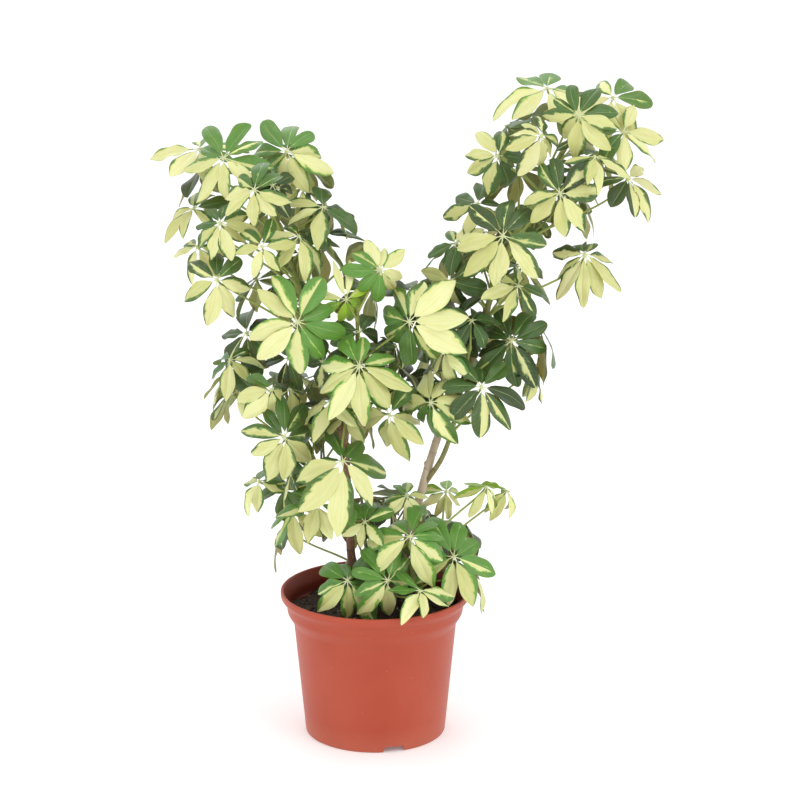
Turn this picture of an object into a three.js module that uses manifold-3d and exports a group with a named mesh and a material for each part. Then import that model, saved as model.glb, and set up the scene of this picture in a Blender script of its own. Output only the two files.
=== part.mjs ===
// Potted umbrella plant: a variegated dwarf umbrella tree in a terracotta-coloured nursery pot.
// Millimetres, +Z up, and -Y is the front. Places are measured from the floor under the middle of
// the pot. Last, the whole part is moved so that its box stands over the origin.
import * as THREE from 'three';
import Module from 'manifold-3d';

const wasm = await Module();
wasm.setup();

const GAP = 0.3;
// The same gap, measured at the corners of a stem with six flat sides
const FLAT_SIDE_GAP = GAP * 1.2;
// Where the pot stands, so that the box round the whole part is centred on the origin
const POT_PLACE = [-38, -9];
const DEG = Math.PI / 180;

// Pot: radii and heights of its outline
const POT = {
  height: 186,
  lipRadius: 119.5,
  lipInnerRadius: 116,
  lipDrop: 16,
  collarRadius: 111,
  collarBottom: 158,
  shoulderRadius: 103,
  shoulderBottom: 145,
  footRadius: 89,
  footRound: 3,
  footWidth: 3,
  wall: 2,
  draft: 1,
  edgeRound: 1.5,
  cornerRound: 2,
  floorHeight: 9.5,
  floor: 2.5,
  sides: 32,
};
const NOTCH = { count: 3, firstTurn: 15.6, height: 7.5, bottomWidth: 30, topWidth: 22, depth: 12, overcut: 5,
  undercut: 2 };
const DRAIN = { count: 4, circle: 58, radius: 6, sides: 6, overcut: 1 };

// Soil: it fills the pot to a little under the lip, with an uneven top
const SOIL = { top: 162.5, shoulderRise: 1.2, edgeRise: 2, bump: 2.5, bumpSink: 0.3, waveX: 17, waveY: 21,
  rings: 3 };

// Bare woody canes: points along the middle line, from inside the soil to the top
const CANES = {
  cane_left: {
    colour: 0x8a6048,
    radii: [6, 4.4],
    path: [[-15, 4, 100], [-17, 2, 171], [-29, 0, 224], [-34, 0, 303], [-37, -4, 369], [-49, -8, 434]],
  },
  cane_right: {
    colour: 0xaf9b87,
    radii: [6.4, 4.6],
    path: [[16, 6, 100], [21, 4, 171], [38, 3, 237], [58, 5, 312], [80, 10, 386], [103, 13, 440]],
  },
};

// Leafy shoots. A leaf row is [x, y, z, turn, lift, droop, spin, length, count, seed]. The place is
// that of the hub, where the leaflets meet. Turn says which way the leaf faces: 0 is the front,
// 90 the right, 180 the back. Lift is how far it looks up. Droop is how far its leaflets hang from
// its own plane, and spin where the first of them points, from its right side upwards. Length and
// count are those of the leaflets, and the seed makes them uneven. Back leaves are placed by rule.
const SHOOTS = {
  left_crown: {
    radii: [4.3, 2.4],
    path: [[-49, -8, 434], [-67, -10, 485], [-85, -12, 549], [-102, -14, 611], [-120, -15, 667],
      [-135, -15, 715]],
    backLeaves: 8,
    backSpan: [0.3, 1],
    leaves: [
      [-180, -25, 738, -20, 30, 6, 0, 70, 9, 87],
      [-214, 40, 740, -10, 75, 6, 55, 74, 6, 89],
      [-105, -10, 744, -5, 25, 30, 15, 78, 9, 46],
      [-140, -90, 710, -10, 30, 18, 40, 58, 8, 161],
      [-183, -60, 665, -5, 35, 24, 5, 58, 9, 202],
      [-222, 30, 668, -40, 60, 6, 30, 56, 7, 315],
      [-218, 20, 622, -25, 45, 12, 25, 58, 6, 7],
      [-188, -60, 596, 5, 20, 18, 45, 66, 7, 64],
      [-132, -80, 640, 5, 30, 6, 10, 50, 6, 25],
      [-88, 20, 697, 35, 45, 30, 5, 62, 7, 17],
      [-62, -10, 676, 20, 60, 4, 20, 66, 6, 44],
      [-90, -40, 646, 40, 60, 24, 20, 66, 6, 61],
      [-90, -100, 553, 10, 15, 12, 25, 76, 9, 45],
      [-160, 35, 510, -20, 45, 20, 20, 66, 7, 31],
      [-108, 25, 480, -20, 40, 18, 10, 60, 6, 12],
    ],
  },
  left_side: {
    radii: [3.6, 2.2],
    path: [[-34, 0, 290], [-55, -4, 320], [-80, -6, 360], [-98, -4, 405], [-110, 0, 440]],
    backLeaves: 4,
    backSpan: [0.6, 1],
    leaves: [
      [-178, 0, 484, -25, 60, 18, 25, 54, 6, 380],
      [-158, 25, 460, -50, 60, 24, 40, 66, 7, 55],
      [-124, -60, 461, 20, 25, 30, 55, 58, 6, 234],
      [-108, -80, 406, 20, 20, 18, 5, 74, 9, 354],
      [-69, -60, 316, -10, 60, 6, 45, 62, 7, 95],
      [-146, 20, 322, -30, 50, 24, 55, 54, 6, 8],
      [-102, 0, 290, -25, 60, 30, 55, 64, 6, 63],
      [-115, 25, 311, -20, 40, 8, 10, 60, 6, 14],
    ],
  },
  centre: {
    radii: [3.6, 2.2],
    path: [[-37, -4, 372], [-32, -14, 420], [-26, -22, 463], [-21, -30, 509], [-20, -36, 552]],
    backLeaves: 2,
    backSpan: [0.2, 0.9],
    leaves: [
      [-33, -60, 572, 10, 5, 20, 30, 66, 8, 204],
      [8, -60, 608, 10, 10, 18, 25, 54, 9, 181],
      [42, -90, 551, -25, 10, 24, 15, 96, 9, 270],
      [-17, -110, 502, 0, 40, 18, 35, 82, 9, 189],
      [68, -70, 447, -25, 30, 30, 35, 74, 8, 330],
      [18, -60, 429, -25, 25, 30, 25, 74, 7, 179],
      [-37, -100, 382, 20, 40, 18, 0, 96, 8, 214],
      [-53, -40, 442, -30, 60, 6, 20, 70, 7, 29],
      [-36, -30, 421, -20, 50, 15, 20, 50, 6, 3],
      [58, 30, 540, 0, 35, 15, 10, 66, 7, 5],
      [34, 40, 446, 0, 45, 15, 30, 60, 6, 9],
    ],
  },
  right_crown: {
    radii: [4.6, 2.6],
    path: [[103, 13, 440], [116, 15, 467], [131, 18, 517], [155, 20, 592], [185, 20, 661],
      [220, 20, 723], [250, 20, 770]],
    backLeaves: 8,
    backSpan: [0.3, 1],
    leaves: [
      [153, -90, 655, 0, 25, 18, 0, 82, 8, 251],
      [220, -80, 704, 5, 15, 12, 0, 66, 8, 88],
      [150, -10, 738, 10, 20, 30, 5, 66, 7, 171],
      [199, -60, 770, 20, 30, 30, 35, 58, 9, 17],
      [243, -40, 791, -10, 25, 6, 25, 58, 9, 219],
      [211, 40, 814, 0, 60, 12, 30, 84, 7, 8],
      [290, 30, 804, -10, 45, 18, 15, 66, 6, 9],
      [300, -10, 768, 20, 55, 6, 50, 68, 7, 34],
      [262, -60, 745, 15, 70, 18, 25, 54, 7, 130],
      [308, 0, 710, 35, 60, 6, 35, 62, 8, 99],
      [255, -30, 622, -5, 50, 30, 25, 74, 9, 189],
      [100, 30, 624, -20, 40, 6, 35, 44, 7, 29],
      [93, 0, 583, -10, 5, 28, 30, 64, 6, 340],
      [175, -40, 585, 35, 45, 12, 50, 54, 6, 22],
      [127, 40, 672, 0, 45, 18, 15, 56, 6, 41],
      [49, 50, 561, 5, 40, 18, 20, 62, 7, 26],
    ],
  },
  right_side: {
    radii: [3.4, 2.2],
    path: [[62, 6, 322], [84, -6, 360], [98, -14, 405], [108, -20, 455], [116, -22, 500]],
    backLeaves: 4,
    backSpan: [0.65, 1],
    leaves: [
      [168, -10, 510, -12, 30, 18, 30, 68, 9, 22],
      [130, -60, 464, 5, 50, 4, 40, 64, 8, 226],
      [119, -30, 540, 20, 50, 15, 0, 52, 6, 11],
      [84, -45, 505, -35, 55, 30, 55, 50, 6, 54],
    ],
  },
  low_front: {
    radii: [3, 1.8],
    path: [[0, -30, 120], [2, -31, 181], [12, -38, 217], [22, -44, 250]],
    backLeaves: 0,
    backSpan: [0, 1],
    leaves: [
      [-33, -72, 221, 10, 40, 30, 0, 70, 8, 272],
      [17, -88, 226, 15, 25, 24, 30, 62, 9, 22],
      [43, -85, 282, -15, 35, 30, 15, 80, 9, 2],
      [-12, -50, 290, -15, 40, 6, 25, 44, 6, 13],
      [56, -96, 216, 40, 65, 6, 50, 56, 7, 8],
      [40, -30, 318, 10, 55, 18, 20, 44, 7, 10],
    ],
  },
  low_right: {
    radii: [2.8, 1.8],
    path: [[50, -6, 120], [54, -7, 185], [68, -10, 230], [84, -8, 270]],
    backLeaves: 3,
    backSpan: [0.2, 0.8],
    leaves: [
      [98, -48, 244, 17, 35, 6, 20, 74, 8, 328],
      [90, 22, 308, 15, 45, 30, 30, 48, 7, 72],
      [140, 2, 320, 50, 55, 30, 15, 48, 7, 6],
      [167, 24, 308, 40, 45, 36, 20, 50, 7, 2],
    ],
  },
  low_back: {
    radii: [3, 1.8],
    path: [[-6, 44, 120], [-8, 46, 185], [-14, 56, 240], [-18, 64, 290]],
    backLeaves: 4,
    backSpan: [0.4, 0.85],
    leaves: [],
  },
};

// Leaf shape: shares of a leaflet's length, millimetres for the rib and the hub, and degrees of droop
const LEAF = {
  shoulderAt: 0.48,
  shoulderWidth: 0.17,
  tipShoulderAt: 0.8,
  tipShoulderWidth: 0.13,
  leastWidth: 0.02,
  ribAt: 0.55,
  ribHalfThickness: 0.9,
  sag: 0.12,
  edgeDrop: 0.02,
  valleyRadius: 3.4,
  hubHalfHeight: 1.3,
  mostDroop: 72,
  lowerDroop: 10,
  upperShortening: 0.1,
};
// How uneven the leaflets of one leaf are: in their spacing, droop and length
const UNEVEN = { spacing: 0.5, droop: 18, length: 0.28 };
// How much of the room between two leaflets their blades may take
const SECTOR_SHARE = 0.92;
const STALK = { baseRadius: 1.7, tipRadius: 1.3, steps: 3, sides: 3 };
// How a stalk runs, as shares of its length and reach: where it leaves the stem, and its two bends
const STALK_RUN = { belowHub: 60, leastRise: 10, slope: 0.7, footOut: 0.22, footUp: 0.25, hubBack: 0.3 };
const STEM_SIDES = 6;

// Back leaves: ranges of what a leaf row holds, and how they fan out round the far side of the stem
const BACK = {
  fan: 150,
  turnStep: 0.618,
  turnDraw: 0.3,
  reach: [70, 120],
  rise: [15, 40],
  lift: [35, 55],
  droop: [8, 24],
  spin: [0, 60],
  length: [60, 76],
  count: [6, 8],
  firstSeed: 500,
  seedStep: 20,
};

// What a leaf tries in turn to stay clear of the others: attitude steps in degrees of turn and
// lift, then for each leaflet more droop in degrees and a share of its length
const ATTITUDES = [[0, 0], [0, 8], [8, 0], [-8, 0], [0, -8], [16, 8], [-16, 8], [22, 16], [-22, 16]];
const BENDS = [[0, 1], [8, 1], [-8, 1], [16, 1], [-16, 1], [27, 0.95], [-25, 0.95], [0, 0.78],
  [20, 0.78], [-18, 0.78], [40, 0.85], [0, 0.6], [25, 0.6], [-22, 0.6]];
const BOWS = [0, 0.1, -0.1, 0.2, -0.2];
const CLEARANCE = 1;
const CLEAR = 0;
const OWN_SHOOT = 1;
const OTHER_NODE = 2;

const COLOURS = { pot: 0xba5a46, soil: 0x33261c, foliage: 0x8fae5a };
const ROUGHNESS = { pot: 0.5, soil: 0.95, bark: 0.8, foliage: 0.45 };
// Steps of the draws for each seed, item and use, and how far the sine is spread out
const DRAW = { seed: 12.9898, item: 78.233, use: 37.719, spread: 43758.5453 };

// A draw that depends only on its seed, the item and the use: a share from 0 to 1
function draw(seed, item, use) {
  const wave = Math.sin(seed * DRAW.seed + item * DRAW.item + use * DRAW.use) * DRAW.spread;
  return wave - Math.floor(wave);
}

function solidFrom(positions, triangles) {
  const mesh = new wasm.Mesh({
    numProp: 3,
    vertProperties: new Float32Array(positions.flatMap((p) => [p.x, p.y, p.z])),
    triVerts: new Uint32Array(triangles.flat()),
  });
  return new wasm.Manifold(mesh);
}

function union(solids) {
  return solids.reduce((sum, solid) => sum.add(solid));
}

function toMesh(name, solid, colour, roughness) {
  const { vertProperties, triVerts, numProp } = solid.getMesh();
  const geometry = new THREE.BufferGeometry();
  const positions = new Float32Array((vertProperties.length / numProp) * 3);
  for (let i = 0; i < positions.length; i += 1) {
    positions[i] = vertProperties[Math.floor(i / 3) * numProp + (i % 3)];
  }
  geometry.setAttribute('position', new THREE.BufferAttribute(positions, 3));
  geometry.setIndex(Array.from(triVerts));
  geometry.computeVertexNormals();
  const material = new THREE.MeshStandardMaterial({ color: colour, roughness, metalness: 0 });
  const mesh = new THREE.Mesh(geometry, material);
  mesh.name = name;
  return mesh;
}

// Rings of points round a path, whose radius runs from the first to the last value
function ringsAlong(points, firstRadius, lastRadius, sides, firstAcross = new THREE.Vector3(0, 1, 0)) {
  let across = firstAcross;
  return points.map((point, i) => {
    const before = points[Math.max(i - 1, 0)];
    const after = points[Math.min(i + 1, points.length - 1)];
    const along = after.clone().sub(before).normalize();
    across = across.clone().addScaledVector(along, -across.dot(along)).normalize();
    const third = along.clone().cross(across);
    const radius = firstRadius + ((lastRadius - firstRadius) * i) / (points.length - 1);
    return Array.from({ length: sides }, (_, s) => point.clone()
      .addScaledVector(across, radius * Math.cos((2 * Math.PI * s) / sides))
      .addScaledVector(third, radius * Math.sin((2 * Math.PI * s) / sides)));
  });
}

// The side triangles between rings whose vertices start at `first`, and the cap on the last one
function ringTriangles(first, rings, sides) {
  const triangles = [];
  for (let i = 0; i < rings - 1; i += 1) {
    for (let s = 0; s < sides; s += 1) {
      const t = (s + 1) % sides;
      const low = first + i * sides;
      const high = low + sides;
      triangles.push([low + s, low + t, high + t], [low + s, high + t, high + s]);
    }
  }
  const last = first + (rings - 1) * sides;
  for (let s = 1; s < sides - 1; s += 1) {
    triangles.push([last, last + s, last + s + 1]);
  }
  return triangles;
}

// A closed tube of a few sides
function taperedTube(points, firstRadius, lastRadius, sides) {
  const rings = ringsAlong(points, firstRadius, lastRadius, sides);
  const triangles = ringTriangles(0, rings.length, sides);
  for (let s = 1; s < sides - 1; s += 1) {
    triangles.push([0, s + 1, s]);
  }
  return solidFrom(rings.flat(), triangles);
}

const toPoints = (path) => path.map(([x, y, z]) => new THREE.Vector3(x, y, z));

// The pot: lip, collar, slanted shoulder and tapering wall, with a raised floor
function potSolid() {
  const p = POT;
  const profile = [
    [p.footRadius - p.wall - p.footWidth - p.draft, p.floorHeight],
    [p.footRadius - p.wall - p.footWidth, 0],
    [p.footRadius - p.footRound, 0],
    [p.footRadius, p.footRound],
    [p.shoulderRadius, p.shoulderBottom],
    [p.collarRadius, p.collarBottom],
    [p.collarRadius + p.draft, p.height - p.lipDrop],
    [p.lipRadius, p.height - p.lipDrop / 2],
    [p.lipRadius, p.height - p.edgeRound],
    [p.lipRadius - p.edgeRound, p.height],
    [p.lipInnerRadius, p.height - p.draft],
    [p.collarRadius + p.draft - p.wall, p.height - p.lipDrop],
    [p.collarRadius - p.wall, p.collarBottom + p.edgeRound],
    [p.shoulderRadius - p.wall, p.shoulderBottom + p.draft],
    [p.footRadius - p.wall, p.floorHeight + p.floor + p.cornerRound],
    [p.footRadius - p.wall - p.cornerRound, p.floorHeight + p.floor],
  ];
  let pot = turnedSolid(profile.map(([radius, height]) => [radius, () => height]));
  for (let i = 0; i < NOTCH.count; i += 1) {
    pot = pot.subtract(notchSolid(NOTCH.firstTurn + (360 * i) / NOTCH.count));
  }
  for (let i = 0; i < DRAIN.count; i += 1) {
    const turn = (2 * Math.PI * i) / DRAIN.count;
    const middle = new THREE.Vector3(DRAIN.circle * Math.cos(turn), DRAIN.circle * Math.sin(turn), 0);
    const ends = [DRAIN.overcut, POT.floorHeight + POT.floor + DRAIN.overcut]
      .map((height) => middle.clone().setZ(height));
    pot = pot.subtract(taperedTube(ends, DRAIN.radius, DRAIN.radius, DRAIN.sides));
  }
  return pot;
}

// A closed solid from rows of [radius, height at x and y], from the middle of its underside round
// to the middle of its top
function turnedSolid(rows) {
  const positions = [];
  for (const [radius, heightAt] of rows) {
    for (let s = 0; s < POT.sides; s += 1) {
      const angle = (2 * Math.PI * s) / POT.sides;
      const x = radius * Math.cos(angle);
      const y = radius * Math.sin(angle);
      positions.push(new THREE.Vector3(x, y, heightAt(x, y)));
    }
  }
  const under = positions.length;
  positions.push(new THREE.Vector3(0, 0, rows[0][1](0, 0)));
  positions.push(new THREE.Vector3(0, 0, rows[rows.length - 1][1](0, 0)));
  const triangles = [];
  for (let s = 0; s < POT.sides; s += 1) {
    const t = (s + 1) % POT.sides;
    for (let low = 0; low < under - POT.sides; low += POT.sides) {
      const high = low + POT.sides;
      triangles.push([low + s, low + t, high + t], [low + s, high + t, high + s]);
    }
    const last = under - POT.sides;
    triangles.push([under, t, s], [under + 1, last + s, last + t]);
  }
  return solidFrom(positions, triangles);
}

// A wedge that cuts one notch out of the foot, narrower at its top
function notchSolid(turn) {
  const out = new THREE.Vector3(Math.sin(turn * DEG), -Math.cos(turn * DEG), 0);
  const side = new THREE.Vector3(Math.cos(turn * DEG), Math.sin(turn * DEG), 0);
  const positions = [];
  for (const reach of [POT.footRadius - NOTCH.depth, POT.footRadius + NOTCH.overcut]) {
    for (const [width, height] of [
      [NOTCH.bottomWidth, -NOTCH.undercut],
      [NOTCH.topWidth, NOTCH.height],
    ]) {
      for (const hand of [-1, 1]) {
        positions.push(out.clone().multiplyScalar(reach)
          .addScaledVector(side, (hand * width) / 2).setZ(height));
      }
    }
  }
  const quads = [[0, 2, 3, 1], [4, 5, 7, 6], [0, 1, 5, 4], [2, 6, 7, 3], [0, 4, 6, 2], [1, 3, 7, 5]];
  return solidFrom(positions, quads.flatMap(([a, b, c, d]) => [[a, b, c], [a, c, d]]));
}

// The soil: it stands off the wall and the floor by the gap, and its top is uneven
function soilSolid() {
  const p = POT;
  const inset = GAP / Math.cos(Math.PI / p.sides) + p.wall;
  const level = (radius, height) => [radius, () => height];
  const topEdge = p.collarRadius - inset;
  const rows = [
    level(p.footRadius - inset - p.cornerRound, p.floorHeight + p.floor + GAP),
    level(p.footRadius - inset, p.floorHeight + p.floor + p.cornerRound + GAP),
    level(p.shoulderRadius - inset, p.shoulderBottom + SOIL.shoulderRise),
    level(topEdge, p.collarBottom + SOIL.edgeRise),
  ];
  for (let r = SOIL.rings - 1; r > 0; r -= 1) {
    rows.push([(topEdge * r) / SOIL.rings, soilHeight]);
  }
  return turnedSolid(rows);
}

function soilHeight(x, y) {
  const wave = Math.sin(x / SOIL.waveX + 1) * Math.cos(y / SOIL.waveY);
  return SOIL.top + SOIL.bump * (wave - SOIL.bumpSink);
}

// The point of a path at a height, or at the nearer end
function pointAtHeight(path, height) {
  for (let i = 0; i < path.length - 1; i += 1) {
    const low = path[i];
    const high = path[i + 1];
    if (height <= high[2] || i === path.length - 2) {
      const share = Math.min(Math.max((height - low[2]) / (high[2] - low[2]), 0), 1);
      return new THREE.Vector3(...low).lerp(new THREE.Vector3(...high), share);
    }
  }
  return new THREE.Vector3(...path[0]);
}

// Leaves that the front doesn't show stand around the far side of the stem
function backLeafRows(shoot, shootNumber) {
  const rows = [];
  const [from, to] = shoot.backSpan;
  const bottom = shoot.path[0][2];
  const top = shoot.path[shoot.path.length - 1][2];
  for (let i = 0; i < shoot.backLeaves; i += 1) {
    const seed = BACK.firstSeed + shootNumber * BACK.seedStep + i;
    const between = (use, [low, high]) => low + (high - low) * draw(seed, i, use);
    const share = from + ((to - from) * (i + 0.5)) / shoot.backLeaves;
    const turn = 180 + BACK.fan * (((i * BACK.turnStep + BACK.turnDraw * draw(seed, i, 1)) % 1) - 0.5);
    const reach = between(2, BACK.reach);
    const stem = pointAtHeight(shoot.path, bottom + (top - bottom) * share);
    rows.push([
      stem.x + reach * Math.sin(turn * DEG),
      stem.y - reach * Math.cos(turn * DEG),
      stem.z + between(3, BACK.rise),
      turn,
      between(4, BACK.lift),
      between(5, BACK.droop),
      between(6, BACK.spin),
      between(7, BACK.length),
      Math.floor(between(8, BACK.count)),
      seed,
    ]);
  }
  return rows;
}

// The three directions of a leaf: its axis, and across and up in the plane of its leaflets
function leafAxes(turn, lift) {
  const axis = new THREE.Vector3(
    Math.sin(turn * DEG) * Math.cos(lift * DEG),
    -Math.cos(turn * DEG) * Math.cos(lift * DEG),
    Math.sin(lift * DEG),
  );
  const across = new THREE.Vector3(Math.cos(turn * DEG), Math.sin(turn * DEG), 0);
  return { axis, across, up: axis.clone().cross(across) };
}

// The angle at which one leaflet leaves the hub
function leafletAngle(leaf, index) {
  const item = (index + leaf.count) % leaf.count;
  const shift = UNEVEN.spacing * (draw(leaf.seed, item, 1) - 0.5);
  return leaf.spin * DEG + (2 * Math.PI * (index + shift)) / leaf.count;
}

// Where one leaflet points, how long it is, how far it droops and how much room it has on each side
function leafletPlan(leaf, index, [moreDroop, lengthShare]) {
  const angle = leafletAngle(leaf, index);
  const lowness = (1 - Math.sin(angle)) / 2;
  const droop = leaf.droop + LEAF.lowerDroop * lowness
    + UNEVEN.droop * (draw(leaf.seed, index, 2) - 0.5) + moreDroop;
  const share = 1 - LEAF.upperShortening * (1 - lowness) - UNEVEN.length * draw(leaf.seed, index, 3);
  return {
    angle,
    droop: Math.min(droop, LEAF.mostDroop) * DEG,
    length: leaf.length * share * lengthShare,
    room: [angle - leafletAngle(leaf, index - 1), leafletAngle(leaf, index + 1) - angle],
  };
}

// The vertices of one leaflet: rib top and bottom, and its outline from the left base round
function leafletPoints(leaf, plan) {
  const { axis, across, up } = leaf.axes;
  const out = across.clone().multiplyScalar(Math.cos(plan.angle))
    .addScaledVector(up, Math.sin(plan.angle));
  const wide = across.clone().multiplyScalar(-Math.sin(plan.angle))
    .addScaledVector(up, Math.cos(plan.angle));
  const along = out.clone().multiplyScalar(Math.cos(plan.droop))
    .addScaledVector(axis, -Math.sin(plan.droop));
  const normal = out.clone().multiplyScalar(Math.sin(plan.droop))
    .addScaledVector(axis, Math.cos(plan.droop));
  const place = (share, width, rise) => leaf.hub.clone()
    .addScaledVector(along, share * plan.length)
    .addScaledVector(normal, -LEAF.sag * share * share * plan.length + rise)
    .addScaledVector(wide, width * plan.length);
  const halfWidth = (share, wanted, side) => {
    const fromHub = share * Math.cos(plan.droop) - LEAF.sag * share * share * Math.sin(plan.droop);
    const room = fromHub * Math.tan((SECTOR_SHARE * plan.room[side]) / 2);
    return Math.max(Math.min(wanted, room), LEAF.leastWidth);
  };
  const edge = (share, wanted, side) => place(
    share,
    (side ? 1 : -1) * halfWidth(share, wanted, side),
    -LEAF.edgeDrop * plan.length,
  );
  return {
    ribTop: place(LEAF.ribAt, 0, LEAF.ribHalfThickness),
    ribBottom: place(LEAF.ribAt, 0, -LEAF.ribHalfThickness),
    outline: [
      edge(LEAF.shoulderAt, LEAF.shoulderWidth, 0),
      edge(LEAF.tipShoulderAt, LEAF.tipShoulderWidth, 0),
      place(1, 0, 0),
      edge(LEAF.tipShoulderAt, LEAF.tipShoulderWidth, 1),
      edge(LEAF.shoulderAt, LEAF.shoulderWidth, 1),
    ],
  };
}

// One leaflet alone, which stands for it while places are compared
function leafletSolid(leaf, plan) {
  const { ribTop, ribBottom, outline } = leafletPoints(leaf, plan);
  const loop = [leaf.hub, ...outline];
  const triangles = [];
  loop.forEach((_, i) => {
    const j = (i + 1) % loop.length;
    triangles.push([loop.length, i, j], [loop.length + 1, j, i]);
  });
  return solidFrom([...loop, ribTop, ribBottom], triangles);
}

// A whole leaf in one body: the leaflets share a small hub, the valleys between them and the
// stalk, whose first ring is the underside of the hub
function leafSolid(leaf, plans) {
  const { axis, across, up } = leaf.axes;
  const around = (angle, radius, rise) => leaf.hub.clone()
    .addScaledVector(across, radius * Math.cos(angle))
    .addScaledVector(up, radius * Math.sin(angle))
    .addScaledVector(axis, rise);
  const positions = [leaf.hub.clone().addScaledVector(axis, LEAF.hubHalfHeight)];
  const turnOver = plans[0].angle;
  const collar = Array.from({ length: STALK.sides }, (_, s) => around(
    turnOver - (2 * Math.PI * s) / STALK.sides,
    STALK.tipRadius,
    -LEAF.hubHalfHeight,
  ));
  const [, ...lowerRings] = ringsAlong(
    leaf.stalk,
    STALK.tipRadius,
    STALK.baseRadius,
    STALK.sides,
    collar[0].clone().sub(leaf.hub),
  );
  const firstCollar = positions.length;
  positions.push(...collar, ...lowerRings.flat());
  const triangles = ringTriangles(firstCollar, lowerRings.length + 1, STALK.sides);

  const count = plans.length;
  const valleys = plans.map((plan, i) => {
    const before = plans[(i + count - 1) % count];
    let between = plan.angle - before.angle;
    while (between <= 0) between += 2 * Math.PI;
    const droop = (plan.droop + before.droop) / 2;
    const radius = LEAF.valleyRadius * Math.cos(droop);
    positions.push(around(plan.angle - between / 2, radius, -LEAF.valleyRadius * Math.sin(droop)));
    return positions.length - 1;
  });
  const collarOf = (i) => firstCollar
    + ((STALK.sides - Math.round((STALK.sides * i) / count)) % STALK.sides);
  plans.forEach((plan, i) => {
    const { ribTop, ribBottom, outline } = leafletPoints(leaf, plan);
    const first = positions.length;
    positions.push(ribTop, ribBottom, ...outline);
    const edge = [valleys[i], ...outline.map((_, k) => first + 2 + k), valleys[(i + 1) % count]];
    const top = [0, ...edge];
    const bottom = [collarOf(i), ...edge];
    for (let k = 0; k < top.length; k += 1) {
      const next = (k + 1) % top.length;
      triangles.push([first, top[k], top[next]], [first + 1, bottom[next], bottom[k]]);
    }
    const collarBefore = collarOf((i + count - 1) % count);
    if (collarBefore !== collarOf(i)) {
      triangles.push([valleys[i], collarBefore, collarOf(i)]);
    }
  });
  return solidFrom(positions, triangles);
}

// The middle line of a leaf's stalk, from the hub down: it meets the hub along the leaf's axis
// and the stem from above and outside, and bows to one side by a share of its length
function stalkPoints(leaf, path, bow) {
  const run = STALK_RUN;
  const guess = pointAtHeight(path, leaf.hub.z - run.belowHub);
  const away = Math.hypot(leaf.hub.x - guess.x, leaf.hub.y - guess.y);
  const footHeight = leaf.hub.z - run.leastRise - run.slope * away;
  const foot = pointAtHeight(path, Math.max(footHeight, path[1][2]));
  const span = leaf.hub.distanceTo(foot);
  const outward = leaf.hub.clone().sub(foot).setZ(0).normalize();
  const sideways = new THREE.Vector3(-outward.y, outward.x, 0).multiplyScalar(bow * span);
  const lower = foot.clone().addScaledVector(outward, run.footOut * span).add(sideways);
  lower.z += run.footUp * span;
  const upper = leaf.hub.clone().addScaledVector(leaf.axes.axis, -run.hubBack * span).add(sideways);
  return new THREE.CubicBezierCurve3(leaf.hub, upper, lower, foot).getPoints(STALK.steps);
}

// Everything placed so far, so that what follows stays clear of it
const placed = [];

function remember(node, solid, own = 0) {
  placed.push({ node, solid, own, box: solid.boundingBox() });
}

function boxesMeet(a, b) {
  return [0, 1, 2].every((i) => a.min[i] - CLEARANCE < b.max[i] && b.min[i] - CLEARANCE < a.max[i]);
}

// Whether a solid is clear of what is placed, apart from what belongs to its own leaf
function crossing(node, solid, own) {
  const box = solid.boundingBox();
  let worst = CLEAR;
  for (const other of placed) {
    if ((own && other.own === own) || !boxesMeet(box, other.box)) continue;
    const found = other.node === node ? OWN_SHOOT : OTHER_NODE;
    if (found > worst && solid.minGap(other.solid, CLEARANCE * 2) < CLEARANCE) worst = found;
    if (worst === OTHER_NODE) break;
  }
  return worst;
}

// The stalk takes the first bow that is clear of other nodes, or the last one
function placeStalk(leaf, path) {
  for (const bow of BOWS) {
    leaf.stalk = stalkPoints(leaf, path, bow);
    const solid = taperedTube(leaf.stalk, STALK.tipRadius, STALK.baseRadius, STALK.sides);
    if (crossing(leaf.node, solid, leaf.id) < OTHER_NODE || bow === BOWS[BOWS.length - 1]) {
      remember(leaf.node, solid, leaf.id);
      return;
    }
    solid.delete();
  }
}

// The leaflets of a leaf, each in its best bend, and how badly the leaf fits in all
function tryLeaf(leaf) {
  const plans = [];
  for (let i = 0; i < leaf.count; i += 1) {
    let best = null;
    for (const bend of BENDS) {
      const plan = leafletPlan(leaf, i, bend);
      const solid = leafletSolid(leaf, plan);
      plan.found = crossing(leaf.node, solid, leaf.id);
      solid.delete();
      if (!best || plan.found < best.found) best = plan;
      if (best.found === CLEAR) break;
    }
    plans.push(best);
  }
  return { axes: leaf.axes, plans, cost: plans.reduce((sum, plan) => sum + plan.found, 0) };
}

// A leaf takes the first attitude that is clear, or the best one, and loses what still crosses
function placeLeaf(leaf) {
  let best = null;
  for (const [turn, lift] of ATTITUDES) {
    leaf.axes = leafAxes(leaf.turn + turn, leaf.lift + lift);
    const tried = tryLeaf(leaf);
    if (!best || tried.cost < best.cost) best = tried;
    if (best.cost === 0) break;
  }
  leaf.axes = best.axes;
  const kept = best.plans.filter((plan) => plan.found < OTHER_NODE);
  kept.forEach((plan) => remember(leaf.node, leafletSolid(leaf, plan), leaf.id));
  return leafSolid(leaf, kept);
}

const group = new THREE.Group();
group.position.set(POT_PLACE[0], POT_PLACE[1], 0);

// A hole or a seat for a stem: the stem itself, wider by the gap
const roomFor = ({ path, radii }) => taperedTube(
  toPoints(path),
  radii[0] + FLAT_SIDE_GAP,
  radii[1] + FLAT_SIDE_GAP,
  STEM_SIDES,
);
const stemSolid = ({ path, radii }) => taperedTube(toPoints(path), radii[0], radii[1], STEM_SIDES);

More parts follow.
